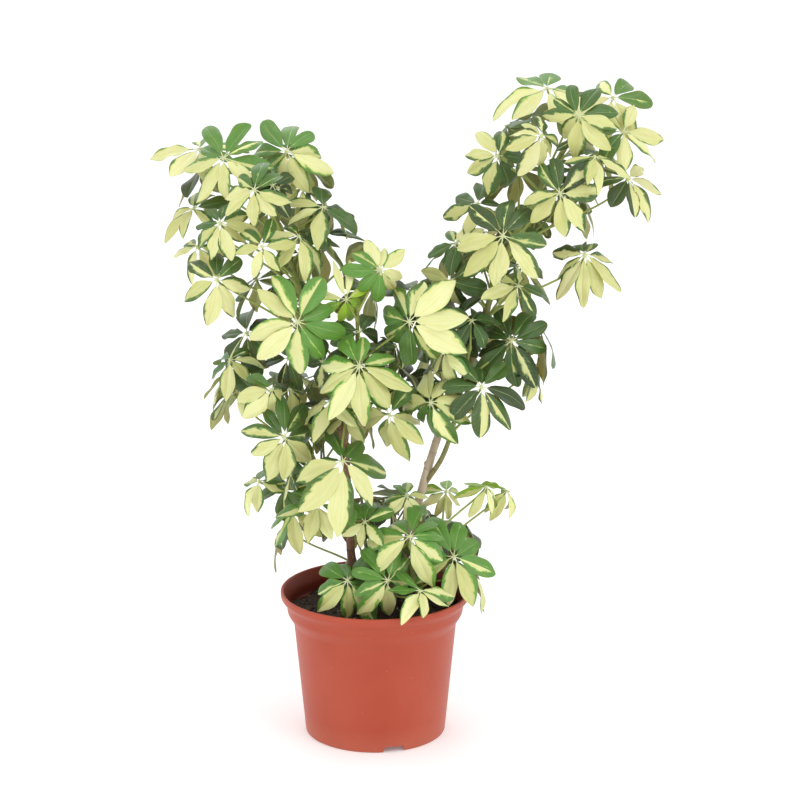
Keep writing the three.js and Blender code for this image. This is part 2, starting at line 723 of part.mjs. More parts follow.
const stemHoles = union([...Object.values(CANES), ...Object.values(SHOOTS)].map(roomFor));
const caneRoom = union(Object.values(CANES).map(roomFor));
const pot = potSolid();
const soil = soilSolid().subtract(stemHoles);
remember('pot', pot);
remember('soil', soil);
group.add(toMesh('pot', pot, COLOURS.pot, ROUGHNESS.pot));
group.add(toMesh('soil', soil, COLOURS.soil, ROUGHNESS.soil));
for (const [name, cane] of Object.entries(CANES)) {
  const solid = stemSolid(cane);
  remember(name, solid);
  group.add(toMesh(name, solid, cane.colour, ROUGHNESS.bark));
}

// Stems come first, then all stalks, then the leaves, which bend clear of what holds them
const shoots = Object.entries(SHOOTS).map(([name, shoot], number) => {
  const stem = stemSolid(shoot).subtract(caneRoom);
  remember(name, stem);
  return { name, shoot, stem, rows: [...shoot.leaves, ...backLeafRows(shoot, number)] };
});
let leafCount = 0;
for (const { name, shoot, rows } of shoots) {
  shoot.grown = rows.map(([x, y, z, turn, lift, droop, spin, length, count, seed]) => {
    leafCount += 1;
    const leaf = { id: leafCount, node: name, turn, lift, droop, spin, length, count, seed };
    leaf.hub = new THREE.Vector3(x, y, z);
    leaf.axes = leafAxes(turn, lift);
    placeStalk(leaf, shoot.path);
    return leaf;
  });
}
for (const { name, shoot, stem } of shoots) {
  const solid = union([stem, ...shoot.grown.map(placeLeaf)]).subtract(caneRoom);
  group.add(toMesh(name, solid, COLOURS.foliage, ROUGHNESS.foliage));
}

export default group;
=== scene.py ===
"""Potted umbrella plant, dressed: a variegated dwarf umbrella tree in a terracotta-coloured pot.

Metres, +Z up, and -Y is the front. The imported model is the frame. Finer pieces take the place
of the pot, the soil and the canes. Each leafy shoot gets a stem, leaf stalks and leaves, which are
grown by the same rules as the shoot's solid and then stand where that solid has them.
"""
import math

import bmesh
import bpy
import numpy as np
from bpy.props import FloatProperty, FloatVectorProperty, IntProperty, PointerProperty
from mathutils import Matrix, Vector, noise
from mathutils.bvhtree import BVHTree
from mathutils.kdtree import KDTree


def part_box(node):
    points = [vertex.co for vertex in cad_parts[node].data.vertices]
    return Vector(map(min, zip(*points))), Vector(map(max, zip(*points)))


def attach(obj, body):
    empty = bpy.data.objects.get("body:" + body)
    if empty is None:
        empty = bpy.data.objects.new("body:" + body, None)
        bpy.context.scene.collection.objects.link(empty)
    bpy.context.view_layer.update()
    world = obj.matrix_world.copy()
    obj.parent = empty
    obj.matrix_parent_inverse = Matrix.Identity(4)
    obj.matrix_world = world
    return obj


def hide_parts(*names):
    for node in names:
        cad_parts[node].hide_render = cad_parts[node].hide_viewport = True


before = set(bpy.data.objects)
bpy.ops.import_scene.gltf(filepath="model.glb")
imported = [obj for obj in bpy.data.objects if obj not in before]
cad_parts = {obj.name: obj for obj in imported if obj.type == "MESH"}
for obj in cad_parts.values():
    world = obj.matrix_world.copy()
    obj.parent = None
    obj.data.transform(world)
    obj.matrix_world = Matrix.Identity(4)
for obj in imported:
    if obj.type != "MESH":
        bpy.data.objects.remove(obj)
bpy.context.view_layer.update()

bl_info = {
    "name": "Potted umbrella plant",
    "version": (1, 0, 0),
    "blender": (4, 5, 0),
    "location": "View3D > Sidebar > Umbrella plant",
    "description": "Grows the dressed umbrella plant round its packed frame",
    "category": "Add Mesh",
}

MM = 0.001
POT_LOW, POT_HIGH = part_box("pot")
POT_AXIS = np.array([(POT_LOW.x + POT_HIGH.x) / 2, (POT_LOW.y + POT_HIGH.y) / 2, 0.0])
LIP_RADIUS = (POT_HIGH.x - POT_LOW.x) / 2
POT_HEIGHT = POT_HIGH.z
UP = np.array([0.0, 0.0, 1.0])

# Pot outline, in metres, from the lip down
LIP_DROP = 0.016
LIP_WIDTH = 0.0035
COLLAR_RADIUS = LIP_RADIUS - 0.0085
COLLAR_BOTTOM = POT_HEIGHT - 0.028
SHOULDER_RADIUS = COLLAR_RADIUS - 0.008
SHOULDER_BOTTOM = COLLAR_BOTTOM - 0.013
FOOT_RADIUS = 0.089
FOOT_ROUND = 0.003
WALL = 0.002
POT_FLOOR = (0.0095, 0.012)
POT_SHARP = 42  # degrees
TOOL_MARK = 0.0021  # metres between the mould's fine rings
NOTCH = {"count": 3, "first": 15.6, "height": 0.0075, "low": 0.030, "high": 0.022, "depth": 0.012}
DRAIN = {"count": 4, "circle": 0.058, "radius": 0.006, "sides": 32}

# Soil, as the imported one
SOIL_TOP = 0.1625
SOIL_BUMP = 0.0025
SOIL_GAP = 0.0003
SOIL_EDGE = COLLAR_RADIUS - WALL - SOIL_GAP
SOIL_RINGS = 56
SOIL_SIDES = 160
# Its crumbly relief: turns per metre and rises in metres
SOIL_ROUGH = {"turns": 60, "rise": 0.0016, "clod_turns": 150, "clod_rise": 0.0018,
              "edge_sink": 0.003}

# Woody canes: radii at the foot and at the top, and points on the middle line, in millimetres from
# the pot's axis, the number of stubs of old twigs, and the tones of the bark's patches and scars
CANES = {
    "cane_left": {
        "radii": (6, 4.4),
        "path": [(-15, 4, 100), (-17, 2, 171), (-29, 0, 224), (-34, 0, 303), (-37, -4, 369),
                 (-49, -8, 434)],
        "stubs": 5,
        "bark": "Reddish bark",
        "dark": (96, 66, 48),
        "scar": (74, 52, 38),
    },
    "cane_right": {
        "radii": (6.4, 4.6),
        "path": [(16, 6, 100), (21, 4, 171), (38, 3, 237), (58, 5, 312), (80, 10, 386),
                 (103, 13, 440)],
        "stubs": 6,
        "bark": "Grey bark",
        "dark": (172, 152, 128),
        "scar": (136, 116, 94),
    },
}
CANE_STEP = 0.0014
SIDES = {"cane": 36, "stem": 14, "stalk": 8, "petiolule": 6}
BARK_WOBBLE = 0.07
# Stubs of old twigs: limits of their shares along and rises, and their reach along and round a cane
STUBS = {"along": (0.25, 0.95), "rise": (0.35, 0.75), "length": 0.0032, "turn": 0.42}
# Leaf scars along a cane or a stem, in metres: the first, from one to the next, and the bare end
SCARS = {"first": 0.012, "apart": (0.009, 0.022), "end": 0.006}
CANE_SCAR = {"width": 0.0011, "rise": 0.08}
STEM_SCAR = {"width": 0.0013, "rise": 0.05}
# Round from one leaf to the next, in radians
GOLDEN_TURN = 2.4

# Leafy shoots: radii at the foot and the tip, and points on the stem, in millimetres. Back and
# inner leaves come by rule: how many, and from which to which share of the stem. The row of a leaf
# is x, y, z of its hub, its turn and lift, the droop of its leaflets, spin of the first one, their
# length and count, and the seed of its unevenness, as in the frame. Then come how much of it is
# cream and the freshness of its green, in hundredths, where the least freshness also darkens a leaf
# as painted shade, and where its green side lies, in degrees from its right side upwards.
SHOOTS = {
    "left_crown": {
        "radii": (4.3, 2.4),
        "path": [(-49, -8, 434), (-67, -10, 485), (-85, -12, 549), (-102, -14, 611),
                 (-120, -15, 667), (-135, -15, 715)],
        "back": (8, 0.3, 1),
        "inner": (26, 0.1, 1),
        "leaves": [
            (-180, -25, 738, -20, 30, 6, 0, 70, 9, 87, 46, 60, 95),
            (-214, 40, 740, -10, 75, 6, 55, 74, 6, 89, 70, 50, 60),
            (-105, -10, 744, -5, 25, 30, 15, 78, 9, 46, 46, 62, 110),
            (-140, -90, 710, -10, 30, 18, 40, 58, 8, 161, 66, 30, 80),
            (-183, -60, 665, -5, 35, 24, 5, 58, 9, 202, 62, 20, 120),
            (-222, 30, 668, -40, 60, 6, 30, 56, 7, 315, 60, 30, 80),
            (-218, 20, 622, -25, 45, 12, 25, 58, 6, 7, 80, 25, 90),
            (-188, -60, 596, 5, 20, 18, 45, 66, 7, 64, 52, 20, 90),
            (-132, -80, 640, 5, 30, 6, 10, 50, 6, 25, 75, 30, 90),
            (-88, 20, 697, 35, 45, 30, 5, 62, 7, 17, 70, 40, 0),
            (-62, -10, 676, 20, 60, 4, 20, 66, 6, 44, 35, 15, 0),
            (-90, -40, 646, 40, 60, 24, 20, 66, 6, 61, 82, 35, 30),
            (-90, -100, 553, 10, 15, 12, 25, 76, 9, 45, 58, 75, 15),
            (-160, 35, 510, -20, 45, 20, 20, 66, 7, 31, -10, 5, 90),
            (-108, 25, 480, -20, 40, 18, 10, 60, 6, 12, -10, 10, 90),
        ],
    },
    "left_side": {
        "radii": (3.6, 2.2),
        "path": [(-34, 0, 290), (-55, -4, 320), (-80, -6, 360), (-98, -4, 405), (-110, 0, 440)],
        "back": (4, 0.6, 1),
        "inner": (17, 0.1, 1),
        "leaves": [
            (-178, 0, 484, -25, 60, 18, 25, 54, 6, 380, 50, 30, 150),
            (-158, 25, 460, -50, 60, 24, 40, 66, 7, 55, 58, 30, 90),
            (-124, -60, 461, 20, 25, 30, 55, 58, 6, 234, 66, 35, 90),
            (-108, -80, 406, 20, 20, 18, 5, 74, 9, 354, 55, 20, 70),
            (-69, -60, 316, -10, 60, 6, 45, 62, 7, 95, 34, 50, 90),
            (-146, 20, 322, -30, 50, 24, 55, 54, 6, 8, 60, 40, 90),
            (-102, 0, 290, -25, 60, 30, 55, 64, 6, 63, 52, 60, 150),
            (-115, 25, 311, -20, 40, 8, 10, 60, 6, 14, 0, 20, 90),
        ],
    },
    "centre": {
        "radii": (3.6, 2.2),
        "path": [(-37, -4, 372), (-32, -14, 420), (-26, -22, 463), (-21, -30, 509),
                 (-20, -36, 552)],
        "back": (2, 0.2, 0.9),
        "inner": (19, 0, 0.9),
        "leaves": [
            (-33, -60, 572, 10, 5, 20, 30, 66, 8, 204, 42, 100, 270),
            (8, -60, 608, 10, 10, 18, 25, 54, 9, 181, 52, 78, 200),
            (42, -90, 551, -25, 10, 24, 15, 96, 9, 270, 62, 35, 195),
            (-17, -110, 502, 0, 40, 18, 35, 82, 9, 189, 60, 75, 88),
            (68, -70, 447, -25, 30, 30, 35, 74, 8, 330, 70, 40, 250),
            (18, -60, 429, -25, 25, 30, 25, 74, 7, 179, 86, 40, 90),
            (-37, -100, 382, 20, 40, 18, 0, 96, 8, 214, 62, 25, 60),
            (-53, -40, 442, -30, 60, 6, 20, 70, 7, 29, 80, 45, 90),
            (-36, -30, 421, -20, 50, 15, 20, 50, 6, 3, 60, 40, 90),
            (58, 30, 540, 0, 35, 15, 10, 66, 7, 5, -10, 5, 90),
            (34, 40, 446, 0, 45, 15, 30, 60, 6, 9, -10, 5, 90),
        ],
    },
    "right_crown": {
        "radii": (4.6, 2.6),
        "path": [(103, 13, 440), (116, 15, 467), (131, 18, 517), (155, 20, 592), (185, 20, 661),
                 (220, 20, 723), (250, 20, 770)],
        "back": (8, 0.3, 1),
        "inner": (24, 0.1, 1),
        "leaves": [
            (153, -90, 655, 0, 25, 18, 0, 82, 8, 251, 62, 15, 80),
            (220, -80, 704, 5, 15, 12, 0, 66, 8, 88, 60, 15, 100),
            (150, -10, 738, 10, 20, 30, 5, 66, 7, 171, 60, 15, -20),
            (199, -60, 770, 20, 30, 30, 35, 58, 9, 17, 78, 15, 60),
            (243, -40, 791, -10, 25, 6, 25, 58, 9, 219, 46, 22, 80),
            (211, 40, 814, 0, 60, 12, 30, 84, 7, 8, 70, 60, 100),
            (290, 30, 804, -10, 45, 18, 15, 66, 6, 9, 58, 50, 45),
            (300, -10, 768, 20, 55, 6, 50, 68, 7, 34, 82, 35, 180),
            (262, -60, 745, 15, 70, 18, 25, 54, 7, 130, 66, 15, 100),
            (308, 0, 710, 35, 60, 6, 35, 62, 8, 99, 60, 15, 190),
            (255, -30, 622, -5, 50, 30, 25, 74, 9, 189, 62, 12, 90),
            (100, 30, 624, -20, 40, 6, 35, 44, 7, 29, 35, 20, 250),
            (93, 0, 583, -10, 5, 28, 30, 64, 6, 340, 42, 10, 20),
            (175, -40, 585, 35, 45, 12, 50, 54, 6, 22, 60, 15, 0),
            (127, 40, 672, 0, 45, 18, 15, 56, 6, 41, 35, 15, 90),
            (49, 50, 561, 5, 40, 18, 20, 62, 7, 26, -10, 10, 90),
        ],
    },
    "right_side": {
        "radii": (3.4, 2.2),
        "path": [(62, 6, 322), (84, -6, 360), (98, -14, 405), (108, -20, 455), (116, -22, 500)],
        "back": (4, 0.65, 1),
        "inner": (5, 0.6, 1),
        "leaves": [
            (168, -10, 510, -12, 30, 18, 30, 68, 9, 22, -10, 10, 90),
            (130, -60, 464, 5, 50, 4, 40, 64, 8, 226, -15, 10, 90),
            (119, -30, 540, 20, 50, 15, 0, 52, 6, 11, -10, 10, 90),
            (84, -45, 505, -35, 55, 30, 55, 50, 6, 54, 70, 50, 90),
        ],
    },
    "low_front": {
        "radii": (3, 1.8),
        "path": [(0, -30, 120), (2, -31, 181), (12, -38, 217), (22, -44, 250)],
        "back": (0, 0, 1),
        "inner": (4, 0.4, 1),
        "leaves": [
            (-33, -72, 221, 10, 40, 30, 0, 70, 8, 272, 34, 60, 60),
            (17, -88, 226, 15, 25, 24, 30, 62, 9, 22, 40, 70, 100),
            (43, -85, 282, -15, 35, 30, 15, 80, 9, 2, 52, 75, 90),
            (-12, -50, 290, -15, 40, 6, 25, 44, 6, 13, 42, 55, 90),
            (56, -96, 216, 40, 65, 6, 50, 56, 7, 8, 40, 60, 90),
            (40, -30, 318, 10, 55, 18, 20, 44, 7, 10, 70, 60, 90),
        ],
    },
    "low_right": {
        "radii": (2.8, 1.8),
        "path": [(50, -6, 120), (54, -7, 185), (68, -10, 230), (84, -8, 270)],
        "back": (3, 0.2, 0.8),
        "inner": (3, 0.4, 0.9),
        "leaves": [
            (98, -48, 244, 17, 35, 6, 20, 74, 8, 328, 38, 75, 90),
            (90, 22, 308, 15, 45, 30, 30, 48, 7, 72, 60, 85, 90),
            (140, 2, 320, 50, 55, 30, 15, 48, 7, 6, 60, 90, 90),
            (167, 24, 308, 40, 45, 36, 20, 50, 7, 2, 55, 90, 90),
        ],
    },
    "low_back": {
        "radii": (3, 1.8),
        "path": [(-6, 44, 120), (-8, 46, 185), (-14, 56, 240), (-18, 64, 290)],
        "back": (4, 0.4, 0.85),
        "inner": (5, 0.4, 1),
        "leaves": [],
    },
}
LEAF_COLUMNS = ("turn", "lift", "droop", "spin", "length", "count", "seed", "cream", "fresh",
                "green_side")

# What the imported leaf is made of, in metres, degrees and shares of a leaflet's length
LOWER_DROOP = 10
MOST_DROOP = 72
UPPER_SHORTENING = 0.1
UNEVEN = {"spacing": 0.5, "droop": 18, "length": 0.28}
SAG = 0.12
EDGE_DROP = 0.02
RIB_AT = 0.55
RIB_HALF_THICKNESS = 0.0009
SHOULDER = (0.48, 0.17)
TIP_SHOULDER = (0.8, 0.13)
LEAST_WIDTH = 0.02
SECTOR_SHARE = 0.92
STALK_RADII = (0.0013, 0.0017)
STALK_STEPS = 3
STALK_RUN = {"below_hub": 0.06, "least_rise": 0.01, "slope": 0.7, "foot_out": 0.22, "foot_up": 0.25,
             "hub_back": 0.3}
# Leaves that the front doesn't show stand round the far side of the stems, by rule
BACK = {
    "fan": 150,
    "turn_step": 0.618,
    "turn_draw": 0.3,
    "reach": (0.07, 0.12),
    "rise": (0.015, 0.04),
    "lift": (35, 55),
    "droop": (8, 24),
    "spin": (0, 60),
    "length": (0.06, 0.076),
    "count": (6, 8),
    "first_seed": 500,
    "seed_step": 20,
    "cream": (0.1, 0.5),
    # Low freshness also darkens these leaves, as painted shade
    "fresh": (0.03, 0.2),
}
# Small shaded leaves near the stems, which are only here: where there is room for them
INNER = {
    "tries": 40,
    "step": 0.618,
    "turn_step": 0.382,
    "margin": 0.0004,
    "reach": (0.012, 0.075),
    "front_reach": 0.25,
    "rise": (0.002, 0.02),
    "lift": (10, 60),
    "droop": (8, 30),
    "spin": (0, 60),
    "length": (0.034, 0.056),
    "count": (5, 7),
    "first_seed": 900,
    "seed_step": 120,
    "cream": (-0.2, 0.35),
    # The least freshness darkens these leaves, as painted shade
    "fresh": (0, 0.03),
    "rows": 9,
    "columns": (0.0, 0.12, 0.6, 1.0),
}
# What a rule gives between two limits, and the use of its draw
RULE_DRAWS = {"reach": 2, "rise": 3, "lift": 4, "droop": 5, "spin": 6, "length": 7, "count": 8,
              "cream": 11, "fresh": 12}
ATTITUDES = [(0, 0), (0, 8), (8, 0), (-8, 0), (0, -8), (16, 8), (-16, 8), (22, 16), (-22, 16)]
BENDS = [(0, 1), (8, 1), (-8, 1), (16, 1), (-16, 1), (27, 0.95), (-25, 0.95), (0, 0.78), (20, 0.78),
         (-18, 0.78), (40, 0.85), (0, 0.6), (25, 0.6), (-22, 0.6)]
BOWS = [0, 0.1, -0.1, 0.2, -0.2]
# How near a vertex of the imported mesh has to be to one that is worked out
SAME_PLACE = 3e-5

# How one blade differs from the next: the limits of its draws, in the order of their uses
FIRST_BLADE_DRAW = 20
BLADE_DRAWS = {
    "cream": (-0.35, 0.35),
    "lean": (-0.3, 1.0),
    "seed": (0, 1),
    "shade": (0, 1),
    "half_width": (0.16, 0.198),
    "roundness": (0.8, 1.02),
    "curl": (-0.04, 0.18),
    "twist": (-32, 32),
    "fold": (0, 0.55),
    "arch": (0.05, 0.4),
    "wave": (0, 0.03),
    "waves": (1.2, 2.6),
    "phase": (0, 1),
    "sweep": (-0.12, 0.12),
    "green_tip": (-1.2, 0.9),
}
# A blade's columns of corners and its form, in metres, waves and shares of its length or half width
BLADE_COLUMNS = (0.0, 0.08, 0.3, 0.56, 0.82, 1.0)
BLADE = {"wedge": 0.95, "rim": 0.0005, "room_at": 0.6, "least_room": 0.1, "ragged": 0.05,
         "ragged_waves": 1.7, "other_side": 0.37, "thin_edge": 0.55, "curl_from": 0.5}
RIB_GROOVE = {"width": 0.0011, "above": -0.00012, "below": 0.00045, "fade": 0.7}
BLADE_SHARP = 60
PETIOLULE_RADII = np.array([1.0, 0.72, 0.62, 0.6, 0.3]) * MM
HUB_RADII = np.array([2.1, 2.1, 1.7]) * MM
BUD_SIZE = 3.2 * MM

# The photograph's camera, fitted to the pot's ellipses, with the image taken as 800 by 800. Its
# place is measured from the floor under the middle of the pot.
CAMERA_PLACE = (0.0315, -2.865, 1.1545)
CAMERA_PITCH = 14.15
SENSOR_WIDTH = 36.0
FOCAL_SHARE = 2.9775

# Soft lights: their places and sides in metres, and their shares of the main light's power
LIGHTS = {
    "Key light": ((1.5, -1.6, 2.2), 1.4, 1.0),
    "Fill light": ((-1.8, -1.2, 1.8), 1.6, 0.4),
    "Back light": ((-0.6, 1.9, 2.2), 1.4, 0.5),
}
LIGHTS_AIM = Vector((0, 0, 0.45))
FLOOR_REACH = 60.0


def srgb(*shade):
    """A linear colour from the 0 to 255 values that a screen shows."""
    shares = [value / 255 for value in shade]
    return (*(share / 12.92 if share <= 0.04045 else ((share + 0.055) / 1.055) ** 2.4
              for share in shares), 1.0)


def draw(seed, item, use):
    """A share from 0 to 1 that depends only on the seed, the item and the use, as in the frame."""
    wave = math.sin(seed * 12.9898 + item * 78.233 + use * 37.719) * 43758.5453
    return wave - math.floor(wave)


def between(limits, *key):
    """A draw between two limits."""
    low, high = limits
    return low + (high - low) * draw(*key)


def clip(share):
    return min(max(share, 0.0), 1.0)


def unit(vector):
    return vector / np.linalg.norm(vector)


# Meshes


def metres(points):
    """Lengths or places of a table, which are in millimetres."""
    return np.array(points) / 1000


def flat(parts):
    return np.concatenate(parts).astype(np.float32).ravel()


def linked(name, data):
    """A new object in the scene."""
    thing = bpy.data.objects.new(name, data)
    bpy.context.scene.collection.objects.link(thing)
    return thing


class Piece:
    """Gathers the points, faces, values and bake map of one piece, and makes its object."""

    def __init__(self, name):
        self.name = name
        self.points = []
        self.faces = []
        self.values = {}
        self.map = []
        self.count = 0

    def add(self, points, faces, bake_map=None, **values):
        self.points.append(points)
        self.faces += [[corner + self.count for corner in face] for face in faces]
        if bake_map is not None:
            self.map.append(bake_map)
        for key, value in values.items():
            self.values.setdefault(key, []).append(np.broadcast_to(value, (len(points), 3)))
        self.count += len(points)

    def mesh(self, material, sharp=None):
        """The mesh of all that was added, with edges sharp above an angle in degrees."""
        mesh = bpy.data.meshes.new(self.name)
        mesh.from_pydata(np.concatenate(self.points), [], self.faces)
        for key, value in self.values.items():
            attribute = mesh.attributes.new(key, "FLOAT_VECTOR", "POINT")
            attribute.data.foreach_set("vector", flat(value))
        if self.map:
            mesh.uv_layers.new(name="OFBake").uv.foreach_set("vector", flat(self.map))
        mesh.validate()
        mesh.shade_smooth()
        if sharp is not None:
            mesh.set_sharp_from_angle(angle=math.radians(sharp))
        mesh.materials.append(material)
        return mesh

    def make(self, material, slot, *replaced, sharp=None):
        """The piece in the scene, on the root body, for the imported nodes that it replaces."""
        thing = linked(self.name, self.mesh(material, sharp))
        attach(thing, "root")
        if replaced:
            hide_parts(*replaced)
        return thing


def smooth_path(points, steps):
    """Points on a curve through the given ones, with even steps between each two."""
    ends = [2 * points[0] - points[1], *points, 2 * points[-1] - points[-2]]
    curve = []
    for before, first, second, after in zip(ends, ends[1:], ends[2:], ends[3:]):
        for t in np.arange(steps) / steps:
            curve.append(0.5 * (
                2 * first
                + (second - before) * t
                + (2 * before - 5 * first + 4 * second - after) * t ** 2
                + (3 * first - before - 3 * second + after) * t ** 3
            ))
    return np.array([*curve, points[-1]])


def around(sides):
    """Angles and directions round the vertical axis."""
    turns = np.arange(sides) * 2 * math.pi / sides
    return turns, np.stack([np.cos(turns), np.sin(turns), np.zeros(sides)], axis=1)


def tube(points, radii, sides, shape=None):
    """A closed tube. Its radii follow the points, and shape changes them round each ring."""
    turns, directions = around(sides)
    across = np.array([0.0, 1.0, 0.0])
    rings = []
    faces = []
    for i, point in enumerate(points):
        along = unit(points[min(i + 1, len(points) - 1)] - points[max(i - 1, 0)])
        across = unit(across - along * across.dot(along))
        x, y, _ = directions.T * radii[i] * (shape(i, turns) if shape else 1.0)
        rings.append(point + np.outer(x, across) + np.outer(y, np.cross(along, across)))
        for s in range(sides if i else 0):
            t = (s + 1) % sides
            low = (i - 1) * sides
            faces.append((low + s, low + t, low + sides + t, low + sides + s))
    last = (len(points) - 1) * sides
    faces += [range(sides - 1, -1, -1), range(last, last + sides)]
    return np.concatenate(rings), faces


def closed_rings(rings, ends, hand=1):
    """A closed solid of rings, with a fan to a point at each end. Hand -1 flips its faces."""
    sides = len(rings[0])
    count = len(rings) * sides
    faces = []
    for s in range(sides):
        t = (s + 1) % sides
        faces.append((count, t, s))
        for low in range(0, count - sides, sides):
            faces.append((low + s, low + t, low + sides + t, low + sides + s))
        faces.append((count - sides + s, count - sides + t, count + 1))
    if hand < 0:
        faces = [(face[0], *face[:0:-1]) for face in faces]
    return np.concatenate([*rings, ends]), faces


def lump_template(detail):
    """The corners and faces of a small ball, which grains, hubs and buds are shaped from."""
    ball = bmesh.new()
    bmesh.ops.create_icosphere(ball, subdivisions=detail, radius=1.0)
    points = np.array([vertex.co[:] for vertex in ball.verts])
    faces = [[vertex.index for vertex in face.verts] for face in ball.faces]
    ball.free()
    return points, faces


# Shader nodes


class Value:
    """A node's output. Arithmetic with it adds Math nodes."""

    def __init__(self, nodes, socket):
        self.nodes = nodes
        self.socket = socket

    def __add__(self, other):
        return self.nodes.math("ADD", self, other)

    def __sub__(self, other):
        return self.nodes.math("SUBTRACT", self, other)

    def __rsub__(self, other):
        return self.nodes.math("SUBTRACT", other, self)

    def __mul__(self, other):
        return self.nodes.math("MULTIPLY", self, other)

    def __truediv__(self, other):
        return self.nodes.math("DIVIDE", self, other)

    def clamped(self):
        """The same value, kept between 0 and 1."""
        self.socket.node.use_clamp = True
        return self


class Nodes:
    """Adds and links the nodes of one tree."""

    def __init__(self, tree):
        self.tree = tree

    def put(self, socket, value):
        if isinstance(value, Value):
            self.tree.links.new(value.socket, socket)
        else:
            socket.default_value = value

    def add(self, kind, inputs=None, output=0, **settings):
        """A new node's output, or several where their names or numbers come in a tuple."""
        node = self.tree.nodes.new("ShaderNode" + kind)
        for name, value in settings.items():
            setattr(node, name, value)
        for name, value in (inputs or {}).items():
            self.put(node.inputs[name], value)
        if isinstance(output, tuple):
            return [Value(self, node.outputs[key]) for key in output]
        return Value(self, node.outputs[output])

    def math(self, operation, *values):
        return self.add("Math", dict(enumerate(values)), operation=operation)

    def mix(self, share, first, second):
        return self.add("Mix", {0: share, 6: first, 7: second}, 2, data_type="RGBA")

    def lit(self, colour, value):
        """A colour made darker or brighter."""
        return self.add("HueSaturation", {"Color": colour, "Value": value})

    def span(self, value, low, high, to_low=0.0, to_high=1.0):
        return self.add("MapRange", {"Value": value, "From Min": low, "From Max": high,
                                     "To Min": to_low, "To Max": to_high})

    def noise(self, vector, scale, detail, roughness):
        return self.add("TexNoise", {"Vector": vector, "Scale": scale, "Detail": detail,
                                     "Roughness": roughness})

    def vector(self, x, y, z):
        return self.add("CombineXYZ", {"X": x, "Y": y, "Z": z})

    def parts(self, name):
        """The three parts of a value that the mesh carries at its points."""
        carried = self.add("Attribute", output="Vector", attribute_type="GEOMETRY",
                           attribute_name=name)
        return self.add("SeparateXYZ", {"Vector": carried}, (0, 1, 2))

    def place(self, stretch=(1.0, 1.0, 1.0)):
        """Places in metres on the object, stretched."""
        where = self.add("TexCoord", output="Object")
        return self.add("Mapping", {"Vector": where, "Scale": stretch})

    def group(self, name, output, **values):
        """The outputs of a node group, which is built when it is first asked for."""
        tree = bpy.data.node_groups.get(name) or GROUPS[name]()
        inputs = {title.replace("_", " "): value for title, value in values.items()}
        return self.add("Group", inputs, output, node_tree=tree)

    def grain(self, where, scale, patch_scale):
        return self.group("Fine grain", ("Height", "Gloss", "Patches"), Vector=where, Scale=scale,
                          Patch_Scale=patch_scale)

    def flecks(self, where, scale, size, share):
        return self.group("Flecks", "Mask", Vector=where, Scale=scale, Size=size, Share=share)


class Group(Nodes):
    """A node group. Its inputs are colours, numbers or, where the default is None, vectors."""

    def __init__(self, name, **inputs):
        super().__init__(bpy.data.node_groups.new(name, "ShaderNodeTree"))
        for title, default in inputs.items():
            kind = {tuple: "Color", float: "Float"}.get(type(default), "Vector")
            socket = self.socket(title.replace("_", " "), "INPUT", kind)
            if default is not None:
                socket.default_value = default
        ends = self.tree.nodes.new("NodeGroupInput").outputs
        self.given = {title: Value(self, end) for title, end in zip(inputs, ends)}

    def socket(self, title, end, kind):
        return self.tree.interface.new_socket(title, in_out=end, socket_type="NodeSocket" + kind)

    def give(self, **outputs):
        """Leads values to new outputs of the group, and returns its tree."""
        for title in outputs:
            self.socket(title, "OUTPUT", "Color" if title == "Colour" else "Float")
        ends = self.tree.nodes.new("NodeGroupOutput").inputs
        for title, value in outputs.items():
            self.put(ends[title], value)
        return self.tree


def grain_group():
    """Fine surface grain: a height, a share for gloss, and slow patches of tone."""
    grain = Group("Fine grain", Vector=None, Scale=400.0, Patch_Scale=20.0)
    fine = grain.noise(grain.given["Vector"], grain.given["Scale"], 5.0, 0.6)
    slow = grain.noise(grain.given["Vector"], grain.given["Patch_Scale"], 3.0, 0.5)
    patches = grain.span(slow, 0.32, 0.68)
    return grain.give(Height=fine, Gloss=fine * 0.6 + slow * 0.4, Patches=patches)


def fleck_group():
    """Scattered flecks: a mask that is 1 on the flecks, such as lenticels or dust."""
    flecks = Group("Flecks", Vector=None, Scale=200.0, Size=0.2, Share=0.5)
    given = flecks.given
    tint, distance = flecks.add("TexVoronoi", {"Vector": given["Vector"], "Scale": given["Scale"]},
                                ("Color", "Distance"))
    chosen = flecks.math("LESS_THAN", flecks.add("SeparateColor", {"Color": tint}), given["Share"])
    return flecks.give(Mask=((given["Size"] - distance) * 14.0).clamped() * chosen)


